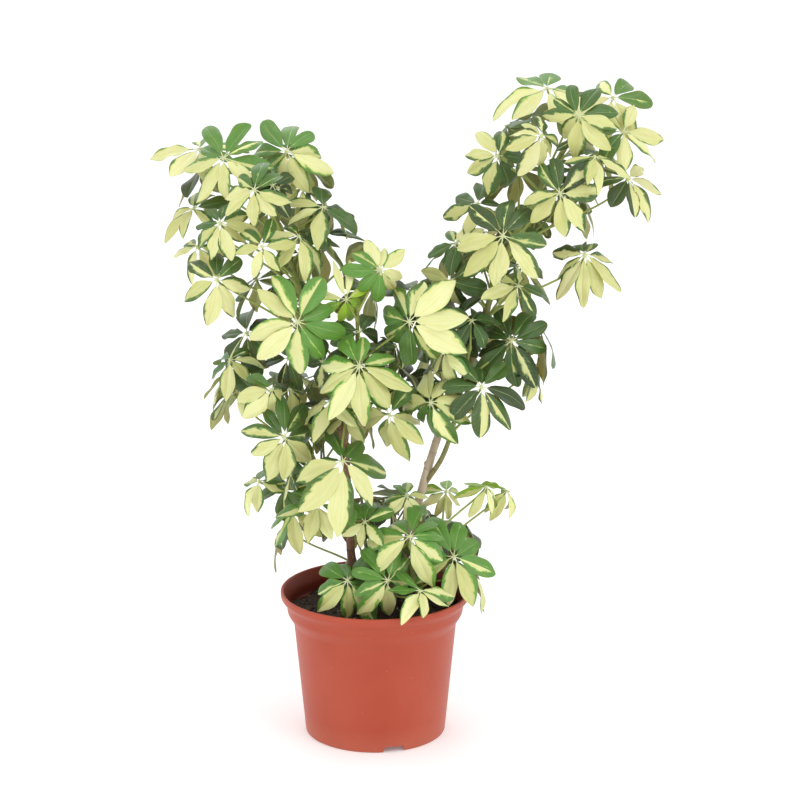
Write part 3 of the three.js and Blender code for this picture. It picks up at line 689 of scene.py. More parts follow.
def variegation_group():
    """The pattern of one leaflet: cream about the midrib with green margins, in long streaks.

    The mesh carries where a point lies on its leaflet (blade: along, across and underside) and what
    the leaflet is like (leaflet: share of cream, lean to one side and seed; tone: freshness, whose
    lowest values also darken the leaflet as painted shade, shade and how green its tip is).
    """
    leaf = Group(
        "Leaf variegation",
        Cream=srgb(225, 224, 164),
        Deep_Cream=srgb(205, 210, 124),
        Dark_Green=srgb(50, 78, 34),
        Mid_Green=srgb(120, 150, 86),
        Fresh_Dark=srgb(96, 154, 58),
        Fresh_Mid=srgb(158, 198, 88),
        Lime=srgb(166, 202, 58),
        Underside=srgb(146, 170, 104),
        Rib=srgb(216, 222, 150),
    )
    given = leaf.given
    along, across, underside = leaf.parts("blade")
    cream_share, lean, seed = leaf.parts("leaflet")
    fresh, shade, green_tip = leaf.parts("tone")
    out = leaf.math("ABSOLUTE", across)
    side = leaf.math("SIGN", across)
    vein = along - out * 0.16
    start = seed * 61.0 + side * 7.3

    def streaks(along_scale, out_scale, offset, detail=3.0):
        """Noise that is drawn out along the side veins."""
        where = leaf.vector(vein * along_scale + start, out * out_scale, start + offset)
        return leaf.noise(where, 1.0, detail, 0.6) - 0.5

    wander = streaks(2.6, 0.7, 0.0, 2.0)
    fine = streaks(13.0, 3.2, 11.0)
    patch = streaks(2.4, 4.4, 23.0)

    # Cream reaches out from the midrib to a wandering edge, and less far at a green tip
    tip = leaf.span(along, 0.55, 1.0) * (green_tip * 0.9)
    reach = leaf.span(cream_share, 0.0, 1.0, -0.5, 1.06)
    inside = reach + lean * side * 0.48 + wander * 1.3 + fine * 0.2 - tip - out
    creamy = (inside * 14.0 + 0.5).clamped()
    halo = inside + (fine * 0.6 + 0.17)
    pale = (halo * 8.0).clamped() * leaf.span(out, 0.8, 0.98, 1.0, 0.1)
    flecked = ((patch + fine - 0.2) * 9.0).clamped() * leaf.span(cream_share, 0.05, 0.4, 0.1, 0.6)
    paler = leaf.math("MAXIMUM", pale * 0.85, flecked)

    young = ((fresh - 0.8) * 5.0).clamped()
    dark = leaf.mix(young, leaf.mix(fresh, given["Dark_Green"], given["Fresh_Dark"]), given["Lime"])
    mid = leaf.mix(fresh, given["Mid_Green"], given["Fresh_Mid"])
    green = leaf.mix(leaf.span(patch, 0.0, 0.5, 0.0, 0.5), leaf.mix(paler, dark, mid), mid)
    # Painted shade: greens of the back and inner leaves, which have the least freshness, are
    # darkened; fresher ones are a little brighter
    green = leaf.lit(green, leaf.span(fresh, 0.0, 0.1, 0.7, 1.1))
    near_edge = (1.0 - inside * 3.0).clamped()
    deep = leaf.math("MAXIMUM", (patch * 2.2 + shade * 0.8).clamped(), near_edge * 0.8)
    cream = leaf.mix(deep, given["Cream"], given["Deep_Cream"])
    # Painted shade: creams of leaves with the least freshness are darkened too
    cream = leaf.lit(cream, leaf.span(fresh, 0.0, 0.05, 0.8, 1.0))

    rib = (1.0 - out / leaf.span(along, 0.0, 1.0, 0.085, 0.018)).clamped()
    wave = leaf.math("COSINE", vein * (2 * math.pi * 10))
    ridge = leaf.math("POWER", wave * 0.5 + 0.5, 10.0)
    blade = leaf.mix(rib * 0.38 + ridge * 0.03, leaf.mix(creamy, green, cream), given["Rib"])
    blade = leaf.mix(underside * 0.5, blade, given["Underside"])
    return leaf.give(
        Colour=leaf.lit(blade, leaf.span(shade, 0.0, 1.0, 1.08, 0.84)),
        Height=rib * -0.5 + ridge * -0.12 + fine * 0.25,
        Gloss=underside * 0.22 + (patch * 0.12 + 0.4),
    )


GROUPS = {"Fine grain": grain_group, "Flecks": fleck_group, "Leaf variegation": variegation_group}


class Surface(Nodes):
    """A material and its shader, with constants set on the shader's own sockets."""

    def __init__(self, name, **constants):
        self.material = bpy.data.materials.new(name)
        self.material.use_nodes = True
        super().__init__(self.material.node_tree)
        self.sockets = self.tree.nodes["Principled BSDF"].inputs
        for title, value in constants.items():
            self.sockets[title.replace("_", " ")].default_value = value

    def roughness(self, gloss, low, high):
        """Roughness between two values, as the grain's share of gloss says."""
        return self.span(gloss, 0.3, 0.7, low, high)

    def finish(self, colour, roughness, height, strength, distance):
        """Leads the colour, the roughness and the relief to the shader."""
        bump = self.add("Bump", {"Height": height, "Strength": strength, "Distance": distance})
        self.put(self.sockets["Base Color"], colour)
        self.put(self.sockets["Roughness"], roughness)
        self.put(self.sockets["Normal"], bump)
        return self.material


def pot_material(settings):
    """Moulded terracotta-coloured plastic: satin, slightly mottled, with faint dust and scuffs, and
    painted shade on the inside above the soil.
    """
    plastic = Surface("Terracotta plastic", Specular_IOR_Level=0.35)
    where = plastic.place()
    fine, gloss, patches = plastic.grain(where, 900.0, 9.0)
    dust = plastic.flecks(where, 130.0, 0.16, 0.12)
    height = plastic.add("SeparateXYZ", {"Vector": where}, 2)
    base = plastic.mix(patches, settings.colour, settings.worn_colour)
    dusty = plastic.span(height, 0.03, 0.0) * 0.25 + dust * 0.3
    tint = plastic.mix(dusty, base, srgb(198, 128, 104))
    # The inside, above the soil, is darker towards the soil: painted shade, with some damp
    axis = plastic.vector(POT_AXIS[0], POT_AXIS[1], height)
    reach = plastic.add("VectorMath", {0: where, 1: axis}, "Value", operation="DISTANCE")
    inner_edge = plastic.span(height, POT_HEIGHT - LIP_DROP, POT_HEIGHT, COLLAR_RADIUS - 0.5 * MM,
                              LIP_RADIUS - 2.5 * MM)
    inside = (plastic.math("LESS_THAN", reach, inner_edge)
              * plastic.math("GREATER_THAN", height, COLLAR_BOTTOM))
    damp = inside * plastic.span(height, POT_HEIGHT, COLLAR_BOTTOM, 0.35, 0.85)
    colour = plastic.mix(damp, tint, srgb(92, 26, 18))
    rings = plastic.math("SINE", height * (2 * math.pi / TOOL_MARK))
    return plastic.finish(colour, plastic.roughness(gloss, 0.36, 0.5), rings * 0.12 + fine,
                          strength=0.12, distance=0.0004)


def soil_material(settings):
    """Damp peat: near black, with browner crumbs."""
    peat = Surface("Damp peat")
    where = peat.place()
    fine, gloss, patches = peat.grain(where, 700.0, 60.0)
    share = peat.flecks(where, 420.0, 0.3, 0.3) * 0.35 + patches * 0.6
    return peat.finish(peat.mix(share, settings.colour, settings.crumb_colour),
                       peat.roughness(gloss, 0.8, 1.0), fine, strength=0.8, distance=0.0015)


def grain_material(name, light, dark, roughness):
    """Small dry grains such as bark chips and perlite."""
    grain = Surface(name)
    fine, gloss, patches = grain.grain(grain.place(), 1200.0, 90.0)
    return grain.finish(grain.mix(patches, light, dark), grain.roughness(gloss, roughness, 1.0),
                        fine, strength=0.5, distance=0.0006)


def bark_material(name, light, dark, scar):
    """Smooth young bark: long streaks, pale lenticels and darker rings where leaves fell."""
    bark = Surface(name)
    fine, gloss, patches = bark.grain(bark.place((1.0, 1.0, 0.16)), 520.0, 95.0)
    pores = bark.flecks(bark.place((1.0, 1.0, 0.55)), 330.0, 0.25, 0.35)
    ringed = bark.parts("bark")[0]
    tint = bark.mix(pores * 0.5, bark.mix(patches, light, dark), srgb(214, 198, 172))
    return bark.finish(bark.mix(ringed * 0.65, tint, scar), bark.roughness(gloss, 0.62, 0.88),
                       pores * 0.6 + fine, strength=0.55, distance=0.0009)


def stem_material(name, light, dark, roughness):
    """Green skin of a young stem or a leaf stalk, browner towards its older end."""
    stem = Surface(name, Coat_Weight=0.05)
    where = stem.place((1.0, 1.0, 0.25))
    fine, gloss, patches = stem.grain(where, 600.0, 60.0)
    pores = stem.flecks(where, 300.0, 0.2, 0.2)
    ringed, age, pale = stem.parts("bark")
    tint = stem.mix(patches * 0.7, light, dark)
    for share, colour in (
        (age * 0.85, srgb(134, 112, 78)),
        (ringed * 0.7, srgb(112, 96, 56)),
        (pores * 0.3, srgb(205, 205, 150)),
        (pale, srgb(222, 228, 178)),
    ):
        tint = stem.mix(share, tint, colour)
    return stem.finish(tint, stem.roughness(gloss, roughness, roughness + 0.18), fine,
                       strength=0.3, distance=0.0005)


def leaf_material(settings):
    """Leathery leaflet with the variegation pattern, in the colours given."""
    leaf = Surface("Variegated leaf", Coat_Weight=0.1, Coat_Roughness=0.3, Specular_IOR_Level=0.42,
                   Subsurface_Weight=0.12, Subsurface_Scale=0.003)
    colour, height, gloss = leaf.group("Leaf variegation", ("Colour", "Height", "Gloss"),
                                       Cream=settings.cream, Dark_Green=settings.dark_green)
    return leaf.finish(colour, gloss, height, strength=0.45, distance=0.0005)


# Pot


def rounded(points, radius, steps=4):
    """An outline whose inner corners are rounded by up to the given radius."""
    points = np.array(points, dtype=float)
    outline = [points[0]]
    for before, corner, after in zip(points, points[1:], points[2:]):
        back, on = before - corner, after - corner
        reach = min(radius, np.linalg.norm(back) / 2.2, np.linalg.norm(on) / 2.2)
        start = corner + unit(back) * reach
        end = corner + unit(on) * reach
        for t in np.arange(steps + 1) / steps:
            outline.append((1 - t) ** 2 * start + 2 * t * (1 - t) * corner + t ** 2 * end)
    return [*outline, points[-1]]


def turned(outline, segments):
    """A closed solid turned from an outline that starts and ends on the pot's axis."""
    directions = around(segments)[1]
    rings = [POT_AXIS + directions * radius + UP * height for radius, height in outline[1:-1]]
    return closed_rings(rings, [POT_AXIS + UP * outline[end][1] for end in (0, -1)])


def pot_outline():
    """Outline of the pot, from the middle of its underside, over the lip, to its floor."""
    low, floor = POT_FLOOR
    inside = FOOT_RADIUS - WALL
    return rounded([
        (0, low),
        (inside - 4 * MM, low),
        (inside - 3 * MM, 0),
        (FOOT_RADIUS, 0),
        (SHOULDER_RADIUS, SHOULDER_BOTTOM),
        (COLLAR_RADIUS, COLLAR_BOTTOM),
        (COLLAR_RADIUS + 1 * MM, POT_HEIGHT - LIP_DROP),
        (LIP_RADIUS, POT_HEIGHT - LIP_DROP / 2),
        (LIP_RADIUS, POT_HEIGHT),
        (LIP_RADIUS - LIP_WIDTH, POT_HEIGHT),
        (COLLAR_RADIUS + 1 * MM - WALL, POT_HEIGHT - LIP_DROP),
        (COLLAR_RADIUS - WALL, COLLAR_BOTTOM + 1.5 * MM),
        (SHOULDER_RADIUS - WALL, SHOULDER_BOTTOM + 1 * MM),
        (inside, floor + 1 * MM),
        (inside - 3 * MM, floor),
        (0, floor),
    ], FOOT_ROUND)


def notch_cutter(turn):
    """A wedge that cuts one notch out of the foot, narrower at its top."""
    out = np.array([math.sin(turn), -math.cos(turn), 0.0])
    side = np.array([math.cos(turn), math.sin(turn), 0.0])
    points = [
        POT_AXIS + out * reach + side * hand * width / 2 + UP * height
        for reach in (FOOT_RADIUS - NOTCH["depth"], FOOT_RADIUS + 5 * MM)
        for width, height in ((NOTCH["low"], -2 * MM), (NOTCH["high"], NOTCH["height"]))
        for hand in (-1, 1)
    ]
    quads = [(0, 2, 3, 1), (4, 5, 7, 6), (0, 1, 5, 4), (2, 6, 7, 3), (0, 4, 6, 2), (1, 3, 7, 5)]
    return np.array(points), quads


def drain_cutter(turn):
    """A round bar that drills one drain hole in the floor."""
    middle = POT_AXIS + DRAIN["circle"] * np.array([math.cos(turn), math.sin(turn), 0.0])
    ends = np.array([middle + UP * MM, middle + UP * (POT_FLOOR[1] + 2 * MM)])
    return tube(ends, [DRAIN["radius"]] * 2, DRAIN["sides"])


def make_pot(settings):
    """The pot, turned in one piece, with its notches and drain holes cut out."""
    material = pot_material(settings)
    body = Piece("nursery_pot")
    body.add(*turned(pot_outline(), settings.segments))
    pot = body.make(material, "pot_plastic", "pot")
    cutters = Piece("pot_cutters")
    for i in range(NOTCH["count"]):
        cutters.add(*notch_cutter(math.radians(NOTCH["first"] + 360 * i / NOTCH["count"])))
    for i in range(DRAIN["count"]):
        cutters.add(*drain_cutter(2 * math.pi * i / DRAIN["count"]))
    cutter = linked("pot_cutters", cutters.mesh(material))
    cut = pot.modifiers.new("Notches and drain holes", "BOOLEAN")
    cut.operation = "DIFFERENCE"
    cut.solver = "EXACT"
    cut.object = cutter
    evaluated = pot.evaluated_get(bpy.context.evaluated_depsgraph_get())
    mesh = bpy.data.meshes.new_from_object(evaluated)
    pot.modifiers.clear()
    pot.data = mesh
    mesh.set_sharp_from_angle(angle=math.radians(POT_SHARP))
    bpy.data.objects.remove(cutter)


# Soil


def soil_height(x, y):
    """Height of the soil at a place from the pot's axis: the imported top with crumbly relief."""
    packed = SOIL_TOP + SOIL_BUMP * (math.sin(x / 0.017 + 1) * math.cos(y / 0.021) - 0.3)

    def slice_of_noise(turns, z):
        return Vector((x * turns, y * turns, z))

    rough = noise.fractal(slice_of_noise(SOIL_ROUGH["turns"], 3.1), 0.8, 2.1, 4)
    clods = abs(noise.noise(slice_of_noise(SOIL_ROUGH["clod_turns"], 8.7)))
    edge = (math.hypot(x, y) / SOIL_EDGE) ** 8
    return (packed + SOIL_ROUGH["rise"] * rough + SOIL_ROUGH["clod_rise"] * clods
            - SOIL_ROUGH["edge_sink"] * edge)


def make_soil(settings):
    """The bed of peat, with crumbs, bark chips and perlite on it."""
    directions = around(SOIL_SIDES)[1]
    rings = []
    for share in np.arange(1, SOIL_RINGS + 1) / SOIL_RINGS:
        ring = directions * SOIL_EDGE * share
        ring[:, 2] = [soil_height(x, y) for x, y, _ in ring]
        rings.append(POT_AXIS + ring)
    floor = POT_FLOOR[1]
    foot = FOOT_RADIUS - WALL - SOIL_GAP
    for radius, height in (
        (SHOULDER_RADIUS - WALL - SOIL_GAP, SHOULDER_BOTTOM + 1.2 * MM),
        (foot, floor + 4 * MM),
        (foot - 4 * MM, floor + SOIL_GAP),
    ):
        rings.append(POT_AXIS + directions * radius + UP * height)
    ends = [POT_AXIS + UP * soil_height(0, 0), POT_AXIS + UP * (floor + SOIL_GAP)]
    bed = Piece("potting_soil")
    bed.add(*closed_rings(rings, ends, -1))
    bed.make(soil_material(settings), "soil", "soil")
    chip = grain_material("Bark chip", srgb(96, 66, 44), srgb(48, 32, 22), 0.75)
    perlite = grain_material("Perlite", srgb(222, 218, 206), srgb(176, 168, 152), 0.85)
    scatter_grains("peat_crumbs", settings.crumbs, (0.9, 2.6), 0.35, soil_material(settings), 11)
    scatter_grains("bark_chips", settings.chips, (2.2, 5.2), 0.2, chip, 12)
    scatter_grains("perlite", settings.perlite, (0.8, 1.9), 0.35, perlite, 13)


def scatter_grains(name, count, sizes, flatness, material, seed):
    """Irregular grains, of sizes in millimetres, that lie half sunk in the top of the soil."""
    random = np.random.default_rng(seed)
    ball, faces = lump_template(2)
    lump = ball * (1 + 0.32 * np.array([[noise.noise(Vector(point) * 1.4)] for point in ball]))
    heap = Piece(name)
    for _ in range(count):
        radius = (SOIL_EDGE - 5 * MM) * math.sqrt(random.uniform())
        turn = random.uniform(0, 2 * math.pi)
        x = radius * math.cos(turn)
        y = radius * math.sin(turn)
        size = random.uniform(*sizes) * MM
        place = POT_AXIS + (x, y, soil_height(x, y) + size * random.uniform(-0.1, 0.35))
        axes = np.linalg.qr(random.normal(size=(3, 3)))[0]
        stretch = np.array([1.0, random.uniform(0.6, 0.95), random.uniform(flatness, 0.8)])
        heap.add((lump * stretch * size) @ axes.T + place, faces)
    heap.make(material, "soil")


# Canes


def leaf_scars(along, seed, width):
    """How strong the nearest leaf scar is at each place along a stem, and which scar that is."""
    random = np.random.default_rng(seed)
    places = []
    at = SCARS["first"]
    while at < along[-1] - SCARS["end"]:
        places.append(at)
        at += random.uniform(*SCARS["apart"])
    apart = np.abs(along[:, None] - np.array(places))
    return np.exp(-(apart.min(axis=1) / width) ** 2), apart.argmin(axis=1)


def lengths_along(points):
    steps = np.linalg.norm(np.diff(points, axis=0), axis=1)
    return np.concatenate([[0.0], np.cumsum(steps)])


def woody_tube(cane, seed):
    """A cane's skin, with leaf scars round it and stubs of old twigs, and a mask of the scars."""
    rough = smooth_path(POT_AXIS + metres(cane["path"]), 40)
    along = lengths_along(rough)
    even = np.linspace(0, along[-1], int(along[-1] / CANE_STEP))
    points = np.stack([np.interp(even, along, column) for column in rough.T], axis=1)
    scarred, closest = leaf_scars(even, seed, CANE_SCAR["width"])
    random = np.random.default_rng(seed + 50)
    stubs = [(random.uniform(*STUBS["along"]) * along[-1], random.uniform(0, 2 * math.pi),
              random.uniform(*STUBS["rise"])) for _ in range(cane["stubs"])]

    def scar(i, turns):
        """A leaf scar is strongest on the side where its leaf stood."""
        return scarred[i] * (0.2 + 0.8 * ((1 + np.cos(turns - GOLDEN_TURN * closest[i])) / 2) ** 2)

    def shape(i, turns):
        places = [(math.cos(t) * 1.3, math.sin(t) * 1.3, even[i] * 45 + seed) for t in turns]
        wobble = np.array([noise.noise(Vector(place)) for place in places])
        radius = 1 + BARK_WOBBLE * wobble + CANE_SCAR["rise"] * scar(i, turns)
        for place, turn, rise in stubs:
            apart = np.angle(np.exp(1j * (turns - turn)))
            radius += rise * np.exp(-((even[i] - place) / STUBS["length"]) ** 2
                                    - (apart / STUBS["turn"]) ** 2)
        return radius

    skin, faces = tube(points, np.linspace(*metres(cane["radii"]), len(even)), SIDES["cane"], shape)
    mask = np.zeros((len(skin), 3))
    mask[:, 0] = np.concatenate([scar(i, around(SIDES["cane"])[0]) for i in range(len(even))])
    return skin, faces, mask


def make_canes(settings):
    """The two bare canes, each in its own bark."""
    for seed, (name, cane) in enumerate(CANES.items(), 3):
        skin, faces, mask = woody_tube(cane, seed)
        bark = Piece(name + "_bark")
        bark.add(skin, faces, bark=mask)
        tones = getattr(settings, name), srgb(*cane["dark"]), srgb(*cane["scar"])
        bark.make(bark_material(cane["bark"], *tones), "bark", name)


# Leafy shoots, grown as in the frame


def point_at_height(path, height):
    """The point of a path at a height, or at the nearer end."""
    for low, high in zip(path, path[1:]):
        if height <= high[2]:
            break
    share = clip((height - low[2]) / (high[2] - low[2]))
    return low * (1 - share) + high * share


def table_leaf(row):
    """The leaf of a table's row, with its lengths in metres and its shares from 0 to 1."""
    leaf = dict(zip(LEAF_COLUMNS, row[3:]))
    leaf["hub"] = POT_AXIS + metres(row[:3])
    for what, whole in (("length", 1000), ("cream", 100), ("fresh", 100)):
        leaf[what] /= whole
    return leaf


def ruled_leaf(path, rule, seed, item, share, turn, reach_share=1.0):
    """A leaf that stands off a stem, at a share of its height, as a rule says."""
    leaf = {what: between(rule[what], seed, item, use) for what, use in RULE_DRAWS.items()}
    bottom, top = path[0][2], path[-1][2]
    stem = point_at_height(path, bottom + (top - bottom) * share)
    reach = leaf["reach"] * reach_share
    around_stem = math.radians(turn)
    hub = stem + (math.sin(around_stem) * reach, -math.cos(around_stem) * reach, leaf["rise"])
    leaf.update(seed=seed, turn=turn, green_side=90, count=math.floor(leaf["count"]))
    leaf["hub"] = POT_AXIS + hub
    return leaf


def back_leaves(shoot, number):
    """The leaves round the far side of a shoot's stem."""
    count, start, end = shoot["back"]
    leaves = []
    for i in range(count):
        seed = BACK["first_seed"] + number * BACK["seed_step"] + i
        fan = (i * BACK["turn_step"] + BACK["turn_draw"] * draw(seed, i, 1)) % 1 - 0.5
        turn = 180 + BACK["fan"] * fan
        share = start + (end - start) * (i + 0.5) / count
        leaves.append(ruled_leaf(metres(shoot["path"]), BACK, seed, i, share, turn))
    return leaves


def leaf_axes(turn, lift):
    """The three directions of a leaf: its axis, and across and up in the plane of its leaflets."""
    turn = math.radians(turn)
    lift = math.radians(lift)
    flat_axis = np.array([math.sin(turn), -math.cos(turn), 0.0])
    axis = flat_axis * math.cos(lift) + UP * math.sin(lift)
    across = np.array([math.cos(turn), math.sin(turn), 0.0])
    return axis, across, np.cross(axis, across)


def leaflet_angle(leaf, index):
    """The angle at which one leaflet leaves the hub."""
    shift = UNEVEN["spacing"] * (draw(leaf["seed"], index % leaf["count"], 1) - 0.5)
    return math.radians(leaf["spin"]) + 2 * math.pi * (index + shift) / leaf["count"]


class Leaflet:
    """Where one leaflet points, how long it is and how far it droops, for one way of bending it."""

    def __init__(self, leaf, axes, index, bend):
        axis, across, up = axes
        self.index = index
        before, self.angle, after = (leaflet_angle(leaf, index + step) for step in (-1, 0, 1))
        self.rooms = (self.angle - before, after - self.angle)
        lowness = (1 - math.sin(self.angle)) / 2
        droop = (leaf["droop"] + LOWER_DROOP * lowness
                 + UNEVEN["droop"] * (draw(leaf["seed"], index, 2) - 0.5) + bend[0])
        self.droop = math.radians(min(droop, MOST_DROOP))
        shortened = UNEVEN["length"] * draw(leaf["seed"], index, 3)
        share = 1 - UPPER_SHORTENING * (1 - lowness) - shortened
        self.length = leaf["length"] * share * bend[1]
        self.hub = leaf["hub"]
        out = across * math.cos(self.angle) + up * math.sin(self.angle)
        self.wide = -across * math.sin(self.angle) + up * math.cos(self.angle)
        self.along = out * math.cos(self.droop) - axis * math.sin(self.droop)
        self.normal = out * math.sin(self.droop) + axis * math.cos(self.droop)

    def place(self, share, width=0.0, rise=0.0):
        """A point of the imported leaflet, by its share along and across, and its rise in metres."""
        sunk = rise - SAG * share * share * self.length
        return (self.hub + self.along * share * self.length + self.normal * sunk
                + self.wide * width * self.length)

    def room(self, share, side, sector_share=SECTOR_SHARE):
        """How wide the leaflet may be on one side of its rib, as a share of its length."""
        from_hub = share * math.cos(self.droop) - SAG * share * share * math.sin(self.droop)
        return from_hub * math.tan(sector_share * self.rooms[side] / 2)

    def packed_points(self):
        """The leaflet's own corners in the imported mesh."""
        points = [self.place(1), self.place(RIB_AT, 0, RIB_HALF_THICKNESS),
                  self.place(RIB_AT, 0, -RIB_HALF_THICKNESS)]
        for at, width in (SHOULDER, TIP_SHOULDER):
            for side, hand in enumerate((-1, 1)):
                half = max(min(width, self.room(at, side)), LEAST_WIDTH)
                points.append(self.place(at, hand * half, -EDGE_DROP * self.length))
        return points

    def outline(self):
        """The corners of the leaflet as a flat face."""
        rim = ((LEAST_WIDTH, 0), (SHOULDER[0], -SHOULDER[1]), (TIP_SHOULDER[0], -TIP_SHOULDER[1]),
               (1, 0), TIP_SHOULDER, SHOULDER)
        return [self.place(share, width) for share, width in rim]


def packed_tree(name):
    """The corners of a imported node, to look places up in."""
    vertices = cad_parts[name].data.vertices
    tree = KDTree(len(vertices))
    for i, vertex in enumerate(vertices):
        tree.insert(vertex.co, i)
    tree.balance()
    return tree


def packed_leaflets(leaf, tree):
    """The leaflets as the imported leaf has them: the way it faces, and each leaflet's bend."""
    def matches(leaflet):
        """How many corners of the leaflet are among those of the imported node."""
        return sum(tree.find(Vector(point))[2] < SAME_PLACE for point in leaflet.packed_points())

    for turn, lift in ATTITUDES:
        axes = leaf_axes(leaf["turn"] + turn, leaf["lift"] + lift)
        best = [max((Leaflet(leaf, axes, index, bend) for bend in BENDS), key=matches)
                for index in range(leaf["count"])]
        found = [leaflet for leaflet in best if matches(leaflet)]
        if found:
            return axes, found
    raise RuntimeError(f"the leaf with seed {leaf['seed']} isn't in its packed shoot")


def stalk_curve(leaf, path, bow=0):
    """The four points that shape a leaf's stalk, from the hub down to the stem."""
    hub = leaf["hub"]
    run = STALK_RUN
    guess = point_at_height(path, hub[2] - run["below_hub"])
    away = math.hypot(hub[0] - guess[0], hub[1] - guess[1])
    foot = point_at_height(path, max(hub[2] - run["least_rise"] - run["slope"] * away, path[1][2]))
    span = np.linalg.norm(hub - foot)
    outward = unit((hub - foot) * (1, 1, 0))
    sideways = np.array([-outward[1], outward[0], 0.0]) * bow * span
    lower = foot + outward * run["foot_out"] * span + sideways + UP * run["foot_up"] * span
    upper = hub - leaf_axes(leaf["turn"], leaf["lift"])[0] * run["hub_back"] * span + sideways
    return hub, upper, lower, foot


def on_curve(controls, t):
    weights = ((1 - t) ** 3, 3 * t * (1 - t) ** 2, 3 * t * t * (1 - t), t ** 3)
    return sum(weight * control for weight, control in zip(weights, controls))


def packed_stalk(leaf, path, tree):
    """The stalk's curve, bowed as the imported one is, which the rings of its corners show."""
    for bow in BOWS:
        controls = stalk_curve(leaf, path, bow)
        for share in np.arange(1, STALK_STEPS) / STALK_STEPS:
            radius = STALK_RADII[0] + (STALK_RADII[1] - STALK_RADII[0]) * share
            near = tree.find_range(Vector(on_curve(controls, share)), radius + SAME_PLACE)
            if sum(distance > radius - SAME_PLACE for _, _, distance in near) >= 3:
                return controls
    return stalk_curve(leaf, path)


def inner_leaves(shoot, number, taken):
    """Small shaded leaves round a stem, each where its outline crosses nothing that is taken."""
    wanted, low, high = shoot["inner"]
    found = []
    for i in range(wanted * INNER["tries"]):
        share = low + (high - low) * (i * INNER["step"] % 1)
        turn = 360 * (i * INNER["turn_step"] % 1)
        # Those towards the front stay close to the stem, behind the leaves that show
        away = (1 - math.cos(math.radians(turn))) / 2
        leaf = ruled_leaf(metres(shoot["path"]), INNER,
                          INNER["first_seed"] + number * INNER["seed_step"] + i, i, share, turn,
                          INNER["front_reach"] + (1 - INNER["front_reach"]) * away)
        axes = leaf_axes(leaf["turn"], leaf["lift"])
        leaflets = [Leaflet(leaf, axes, index, BENDS[0]) for index in range(leaf["count"])]
        points = [point for leaflet in leaflets for point in leaflet.outline()]
        faces = [range(first, first + 6) for first in range(0, len(points), 6)]
        outline = BVHTree.FromPolygons(points, faces, epsilon=INNER["margin"])
        if any(outline.overlap(tree) for tree in taken):
            continue
        taken.append(outline)
        found.append((leaf, axes, leaflets))
        if len(found) == wanted:
            break
    return found


# Leaves


def blade_template(rows, half_columns):
    """One leaflet blade flat: (along, across, side) of its corners, its faces and its bake map.

    The upper skin and the underside are grids that end in one tip corner, with a rim between them.
    """
    half_columns = np.array(half_columns)
    columns = np.concatenate([-half_columns[:0:-1], half_columns])
    width = len(columns)
    steps = np.arange(rows) / rows
    skin_size = rows * width + 1
    corners = []
    for side in (1.0, -1.0):
        for share in 0.42 * steps + 0.58 * (1 - (1 - steps) ** 2):
            corners += [(share, column, side) for column in columns]
        corners.append((1.0, 0.0, side))
    faces = []
    for first, hand in ((0, 1), (skin_size, -1)):
        for row in range(rows):
            for near in range(first + row * width, first + row * width + width - 1):
                last = row == rows - 1
                far = (first + rows * width,) if last else (near + 1 + width, near + width)
                faces.append((near, near + 1, *far)[::-hand])
    rim = [*range(width), *(row * width + width - 1 for row in range(1, rows)), rows * width,
           *(row * width for row in range(rows - 1, 0, -1))]
    skin_faces = len(faces)
    for here, there in zip(rim, rim[1:] + rim[:1]):
        faces.append((there, here, here + skin_size, there + skin_size))
    corners = np.array(corners)
    return corners, faces, blade_map(corners, faces, skin_faces, skin_size)


def blade_map(corners, faces, skin_faces, skin_size):
    """The bake map of one blade in a unit cell: upper skin left, underside right, rim beside it."""
    outline = np.array([blade_width(share, 1.1, 0.6) for share in corners[:, 0]])
    across = 0.25 + 0.2 * corners[:, 1] * (0.15 + 0.85 * outline)
    places = np.stack([across + 0.5 * (corners[:, 2] < 0), 0.04 + 0.92 * corners[:, 0]], axis=1)
    cell = []
    for number, face in enumerate(faces):
        for corner in face:
            if number < skin_faces or corner < skin_size:
                cell.append(places[corner])
            else:
                inner = places[corner - skin_size]
                cell.append(inner + 0.012 * np.sign(inner - (0.25, 0.5)))
    return np.array(cell)


def blade_width(share, wedge, roundness):
    """Half width of a blade as a share of its widest, from a wedge-shaped foot to a round tip."""
    widest = wedge / (wedge + roundness)
    most = widest ** wedge * (1 - widest) ** roundness
    return share ** wedge * max(1 - share, 0.0) ** roundness / most


class BladeShape:
    """The draws that make one leaflet's blade differ from the next.

    Blades on the green side are broad with round tips, and those on the cream side are slim.
    """

    def __init__(self, leaf, leaflet):
        for use, (what, limits) in enumerate(BLADE_DRAWS.items(), FIRST_BLADE_DRAW):
            setattr(self, what, between(limits, leaf["seed"], leaflet.index, use))
        apart = math.radians(leaf["green_side"]) - leaflet.angle
        away = (1 - math.cos(apart)) / 2
        young = clip(4 * leaf["fresh"] - 3)
        self.cream = clip(0.6 + 1.6 * (away + leaf["cream"] - 1) + self.cream)
        self.lean = math.copysign(abs(self.lean) ** 0.6, -self.lean * math.sin(apart))
        self.green_tip = max(self.green_tip, 0.0)
        self.half_width = (self.half_width + 0.04 * (1 - self.cream)) * (1 - 0.45 * young)
        fresh = max(leaf["fresh"] + 0.3 * (self.shade - 0.5), 0.0)
        self.fresh = min(fresh, max(leaf["fresh"], 0.8))
        self.roundness -= 0.32 * (1 - self.cream)


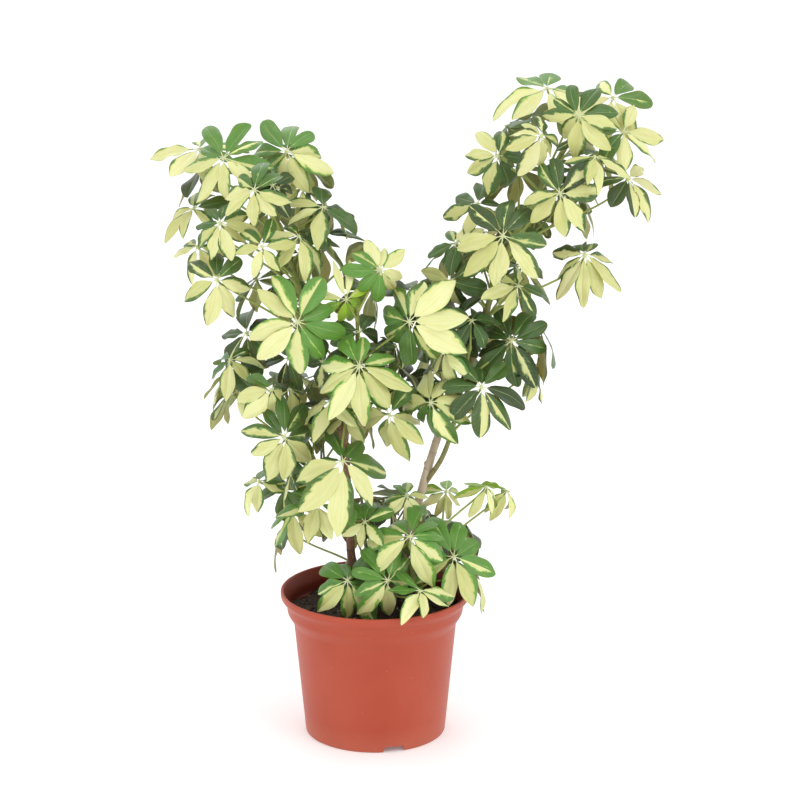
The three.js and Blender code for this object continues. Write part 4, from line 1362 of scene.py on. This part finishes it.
def blade_points(leaflet, shape, corners, settings):
    """Places of a blade's corners in the scene."""
    share, across, side = corners.T
    length = leaflet.length
    widths = np.array([blade_width(value, BLADE["wedge"], shape.roundness) for value in share])
    phase = shape.phase + np.where(across < 0, BLADE["other_side"], 0.0)
    ragged = 1 + BLADE["ragged"] * np.sin(2 * math.pi * (BLADE["ragged_waves"] * share + phase))
    sector_share = 0.88 + 0.16 * shape.cream
    rooms = (leaflet.room(BLADE["room_at"], hand, sector_share) for hand in (0, 1))
    left, right = (min(shape.half_width, max(room, BLADE["least_room"])) * length for room in rooms)
    half = np.where(across < 0, left, right)
    out = across * (widths * ragged * half + BLADE["rim"])
    outward = np.abs(out)
    rise = shape.fold * outward - shape.arch * across ** 2 * widths * half
    rise += shape.wave * length * np.sin(2 * math.pi * (shape.waves * share + phase)) * across ** 2

    # The skins part to the blade's thickness, with a groove along the rib and a ridge under it
    groove = np.exp(-(outward / RIB_GROOVE["width"]) ** 2) * (1 - RIB_GROOVE["fade"] * share)
    skin = settings.thickness / 2 * (1 - BLADE["thin_edge"] * np.abs(across) ** 3)
    skin = skin + groove * np.where(side < 0, RIB_GROOVE["below"], RIB_GROOVE["above"])

    # The blade twists along its rib, sweeps to one side, sags and curls at its tip
    bent = math.radians(shape.twist) * share
    from_hub = settings.petiolule + (1 - settings.petiolule) * share
    curl_from = BLADE["curl_from"]
    curl = shape.curl * length * np.clip((from_hub - curl_from) / (1 - curl_from), 0, 1) ** 2
    sideways = out * np.cos(bent) - rise * np.sin(bent) + shape.sweep * length * share ** 2
    upward = (out * np.sin(bent) + rise * np.cos(bent) + side * skin
              - SAG * from_hub ** 2 * length - curl)
    return (leaflet.hub + np.outer(from_hub * length, leaflet.along)
            + np.outer(upward, leaflet.normal) + np.outer(sideways, leaflet.wide))


def add_blade(piece, leaf, leaflet, template, cell, settings):
    """One blade, with what its material has to know at each corner."""
    corners, faces, bake_map = template
    shape = BladeShape(leaf, leaflet)
    column, row, cells = cell
    piece.add(
        blade_points(leaflet, shape, corners, settings),
        faces,
        bake_map=(bake_map + (column, row)) / cells,
        blade=np.column_stack([corners[:, :2], corners[:, 2] < 0]),
        leaflet=(shape.cream, shape.lean, shape.seed),
        tone=(shape.fresh, shape.shade, shape.green_tip),
    )


def add_petiolule(piece, leaflet, settings):
    """The short stalk of one leaflet, from the hub to a little under its blade."""
    shares = np.linspace(0.015, settings.petiolule + 0.05, len(PETIOLULE_RADII))
    points = np.array([leaflet.place(share, 0, -0.1 * MM) for share in shares])
    piece.add(*tube(points, PETIOLULE_RADII, SIDES["petiolule"]), bark=(0, 0, 0.85))


def add_stalk(piece, leaf, controls, axis):
    """A leaf stalk: slightly swollen at the hub, with a sheath where it leaves the stem."""
    shares = np.linspace(0, 1, 16)
    points = np.array([on_curve(controls, share) for share in shares])
    points[0] = points[0] - axis * 0.4 * MM
    slim = np.linspace(*STALK_RADII, len(shares)) * 0.9
    swollen = 1 + 0.5 * np.exp(-(shares / 0.05) ** 2) + 0.65 * np.exp(-((shares - 1) / 0.08) ** 2)
    piece.add(*tube(points, slim * swollen, SIDES["stalk"]), bark=(0, 0, 0))
    ball, faces = lump_template(2)
    piece.add(ball * HUB_RADII + leaf["hub"] - axis * 0.3 * MM, faces, bark=(0, 0, 0.6))


def add_bud(piece, place, direction):
    """A pointed bud of folded scales at the tip of a shoot."""
    ball, faces = lump_template(3)
    slim = 1 - 0.45 * np.clip(ball[:, 2], 0, 1) ** 2
    pointed = ball * np.stack([slim, slim, np.full(len(ball), 1.9)], axis=1) * BUD_SIZE
    across = unit(np.cross(direction, (0.31, 0.87, 0.11)))
    axes = np.array([across, np.cross(direction, across), direction])
    piece.add(pointed @ axes + place + direction * BUD_SIZE, faces, bark=(0, 0, 0))


def add_shoot_stem(piece, path, radii, feet, seed):
    """A green stem, ringed where stalks leave it and browner at its foot."""
    points = smooth_path(path, 16)
    along = lengths_along(points)
    ringed = leaf_scars(along, seed + 20, STEM_SCAR["width"])[0]
    from_feet = np.linalg.norm(points[:, None] - np.array(feet), axis=2).min(axis=1)
    joints = np.exp(-(from_feet / 0.004) ** 2)
    slim = np.linspace(*radii, len(points)) * (1 + STEM_SCAR["rise"] * ringed + 0.16 * joints)
    age = np.clip(1 - along / (0.5 * along[-1]), 0, 1)
    values = np.stack([ringed, age, np.zeros(len(points))], axis=1)
    piece.add(*tube(points, slim, SIDES["stem"]), bark=np.repeat(values, SIDES["stem"], axis=0))
    add_bud(piece, points[-1], unit(points[-1] - points[-3]))


def grow_shoot(name, number, materials, settings, taken):
    """The stem, the stalks and the leaves of one shoot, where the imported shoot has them."""
    shoot = SHOOTS[name]
    path = POT_AXIS + metres(shoot["path"])
    tree = packed_tree(name)
    fine = blade_template(settings.lengthwise, BLADE_COLUMNS)
    plain = blade_template(INNER["rows"], INNER["columns"])
    grown = [(leaf, *packed_leaflets(leaf, tree), packed_stalk(leaf, path, tree), fine)
             for leaf in (*map(table_leaf, shoot["leaves"]), *back_leaves(shoot, number))]
    grown += [(leaf, axes, leaflets, stalk_curve(leaf, path), plain)
              for leaf, axes, leaflets in inner_leaves(shoot, number, taken)]
    cells = math.ceil(math.sqrt(sum(len(leaflets) for _, _, leaflets, _, _ in grown)))
    stem, stalks, leaves = (Piece(f"{name}_{part}") for part in ("stem", "stalks", "leaves"))
    placed = 0
    for leaf, axes, leaflets, controls, template in grown:
        add_stalk(stalks, leaf, controls, axes[0])
        for leaflet in leaflets:
            cell = (placed % cells, placed // cells, cells)
            add_petiolule(stalks, leaflet, settings)
            add_blade(leaves, leaf, leaflet, template, cell, settings)
            placed += 1
    feet = [controls[3] for _, _, _, controls, _ in grown]
    add_shoot_stem(stem, path, metres(shoot["radii"]), feet, number)
    stem.make(materials["stem"], "foliage", name)
    stalks.make(materials["stalk"], "foliage", name)
    leaves.make(materials["leaf"], "foliage", name, sharp=BLADE_SHARP)


def make_shoots(settings):
    """All leafy shoots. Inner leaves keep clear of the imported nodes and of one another."""
    materials = {
        "leaf": leaf_material(settings),
        "stem": stem_material("Green stem", srgb(136, 146, 76), srgb(106, 118, 56), 0.5),
        "stalk": stem_material("Leaf stalk", srgb(164, 174, 92), srgb(132, 148, 70), 0.42),
    }
    taken = []
    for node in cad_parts.values():
        corners = [vertex.co for vertex in node.data.vertices]
        taken.append(BVHTree.FromPolygons(corners, [face.vertices for face in node.data.polygons]))
    for number, name in enumerate(SHOOTS):
        grow_shoot(name, number, materials, settings, taken)


# Stage


def make_stage(settings):
    """A wide pale floor, soft lights and the camera."""
    floor = Piece("studio_floor")
    corners = np.array([(-1, -1, 0), (1, -1, 0), (1, 1, 0), (-1, 1, 0)]) * FLOOR_REACH
    floor.add(corners, [range(4)])
    pale = Surface("Studio floor", Roughness=0.9, Emission_Strength=0.12)
    clouds = pale.noise(pale.place(), 3.0, 3.0, 0.55)
    tint = pale.mix(clouds, srgb(254, 254, 254), srgb(252, 252, 252))
    pale.put(pale.sockets["Base Color"], tint)
    ground = linked("studio_floor", floor.mesh(pale.material))

    world = bpy.data.worlds.new("Studio")
    world.use_nodes = True
    backdrop = world.node_tree.nodes["Background"]
    backdrop.inputs["Color"].default_value = (1.0, 1.0, 1.0, 1.0)
    backdrop.inputs["Strength"].default_value = settings.surroundings
    bpy.context.scene.world = world
    for title, (place, side, share) in LIGHTS.items():
        light = bpy.data.lights.new(title, "AREA")
        light.shape = "SQUARE"
        light.size = side
        light.energy = settings.key_power * share
        lamp = linked(title, light)
        lamp.location = place
        lamp.rotation_euler = (LIGHTS_AIM - lamp.location).to_track_quat("-Z", "Y").to_euler()

    camera = linked("Camera", bpy.data.cameras.new("Camera"))
    camera.data.sensor_width = SENSOR_WIDTH
    camera.data.lens = SENSOR_WIDTH * FOCAL_SHARE
    camera.location = POT_AXIS + CAMERA_PLACE
    camera.rotation_euler = (math.radians(90 - CAMERA_PITCH), 0, 0)
    bpy.context.scene.camera = camera
    bpy.context.scene.view_settings.view_transform = "Standard"


# Settings, operators and panel


def tint_property(name, description, *shade):
    """A colour, from the 0 to 255 values that a screen shows."""
    return FloatVectorProperty(name=name, description=description, default=srgb(*shade),
                               subtype="COLOR", size=4, min=0, max=1)


def count_property(name, description, default, low, high):
    return IntProperty(name=name, description=description, default=default, min=low, max=high)


class PotSettings(bpy.types.PropertyGroup):
    colour: tint_property("Plastic", "Colour of the pot", 169, 66, 41)
    worn_colour: tint_property("Paler plastic", "Colour of the pot's paler patches", 179, 78, 54)
    segments: count_property("Segments", "Faces round the pot", 160, 32, 512)


class SoilSettings(bpy.types.PropertyGroup):
    colour: tint_property("Peat", "Colour of the damp soil", 40, 30, 22)
    crumb_colour: tint_property("Crumbs", "Colour of the soil's browner crumbs", 78, 58, 42)
    crumbs: count_property("Crumb count", "Loose crumbs on the soil", 620, 0, 2000)
    chips: count_property("Bark chips", "Chips of bark on the soil", 110, 0, 500)
    perlite: count_property("Perlite grains", "White grains on the soil", 70, 0, 500)


class CaneSettings(bpy.types.PropertyGroup):
    cane_left: tint_property("Left bark", "Colour of the left cane", 146, 104, 80)
    cane_right: tint_property("Right bark", "Colour of the right cane", 212, 194, 172)


class LeafSettings(bpy.types.PropertyGroup):
    cream: tint_property("Cream", "Colour of the cream parts of a leaflet", 225, 224, 164)
    dark_green: tint_property("Dark green", "Colour of an old leaflet's green parts", 50, 78, 34)
    thickness: FloatProperty(
        name="Thickness", description="Thickness of a leaflet", subtype="DISTANCE", unit="LENGTH",
        default=0.0005, min=0.0002, max=0.002)
    petiolule: FloatProperty(
        name="Leaflet stalk", description="Share of a leaflet's length that is its own short stalk",
        subtype="FACTOR", default=0.12, min=0.02, max=0.3)
    lengthwise: count_property("Rows", "Rows of faces along a leaflet", 15, 6, 40)


class StageSettings(bpy.types.PropertyGroup):
    key_power: FloatProperty(
        name="Key light", description="Power of the main light", subtype="POWER", unit="POWER",
        default=14.0, min=0)
    surroundings: FloatProperty(
        name="Surroundings", description="Strength of the light from all round", subtype="FACTOR",
        default=1.02, min=0, soft_max=2)


class PLANT_OT_pot(bpy.types.Operator):
    """Turn the nursery pot, with its notched foot and its drain holes"""

    bl_idname = "umbrella.pot"
    bl_label = "Pot"

    def execute(self, context):
        make_pot(context.scene.umbrella_pot)
        return {"FINISHED"}


class PLANT_OT_soil(bpy.types.Operator):
    """Fill the pot with soil, crumbs, bark chips and perlite"""

    bl_idname = "umbrella.soil"
    bl_label = "Soil"

    def execute(self, context):
        make_soil(context.scene.umbrella_soil)
        return {"FINISHED"}


class PLANT_OT_canes(bpy.types.Operator):
    """Raise the two woody canes"""

    bl_idname = "umbrella.canes"
    bl_label = "Canes"

    def execute(self, context):
        make_canes(context.scene.umbrella_canes)
        return {"FINISHED"}


class PLANT_OT_shoots(bpy.types.Operator):
    """Grow the stems, leaf stalks and leaves of all shoots"""

    bl_idname = "umbrella.shoots"
    bl_label = "Leafy shoots"

    def execute(self, context):
        make_shoots(context.scene.umbrella_shoots)
        return {"FINISHED"}


class PLANT_OT_stage(bpy.types.Operator):
    """Set up the floor, the lights and the camera"""

    bl_idname = "umbrella.stage"
    bl_label = "Stage"

    def execute(self, context):
        make_stage(context.scene.umbrella_stage)
        return {"FINISHED"}


# Each step of the plant: its name, its settings and its operator
STEPS = {
    "pot": (PotSettings, PLANT_OT_pot),
    "soil": (SoilSettings, PLANT_OT_soil),
    "canes": (CaneSettings, PLANT_OT_canes),
    "shoots": (LeafSettings, PLANT_OT_shoots),
    "stage": (StageSettings, PLANT_OT_stage),
}


class PLANT_PT_panel(bpy.types.Panel):
    """Lists the sizes and colours of the plant, and what makes each piece"""

    bl_label = "Umbrella plant"
    bl_idname = "PLANT_PT_panel"
    bl_space_type = "VIEW_3D"
    bl_region_type = "UI"
    bl_category = "Umbrella plant"

    def draw(self, context):
        for step, (group, operator) in STEPS.items():
            box = self.layout.box()
            for key in group.__annotations__:
                box.prop(getattr(context.scene, "umbrella_" + step), key)
            box.operator(operator.bl_idname)


def register():
    for step, (group, operator) in STEPS.items():
        bpy.utils.register_class(group)
        bpy.utils.register_class(operator)
        setattr(bpy.types.Scene, "umbrella_" + step, PointerProperty(type=group))
    bpy.utils.register_class(PLANT_PT_panel)


def unregister():
    bpy.utils.unregister_class(PLANT_PT_panel)
    for step, (group, operator) in STEPS.items():
        delattr(bpy.types.Scene, "umbrella_" + step)
        bpy.utils.unregister_class(operator)
        bpy.utils.unregister_class(group)


def main():
    register()
    bpy.ops.umbrella.pot()
    bpy.ops.umbrella.soil()
    bpy.ops.umbrella.canes()
    bpy.ops.umbrella.shoots()
    bpy.ops.umbrella.stage()


if __name__ == "__main__":
    main()
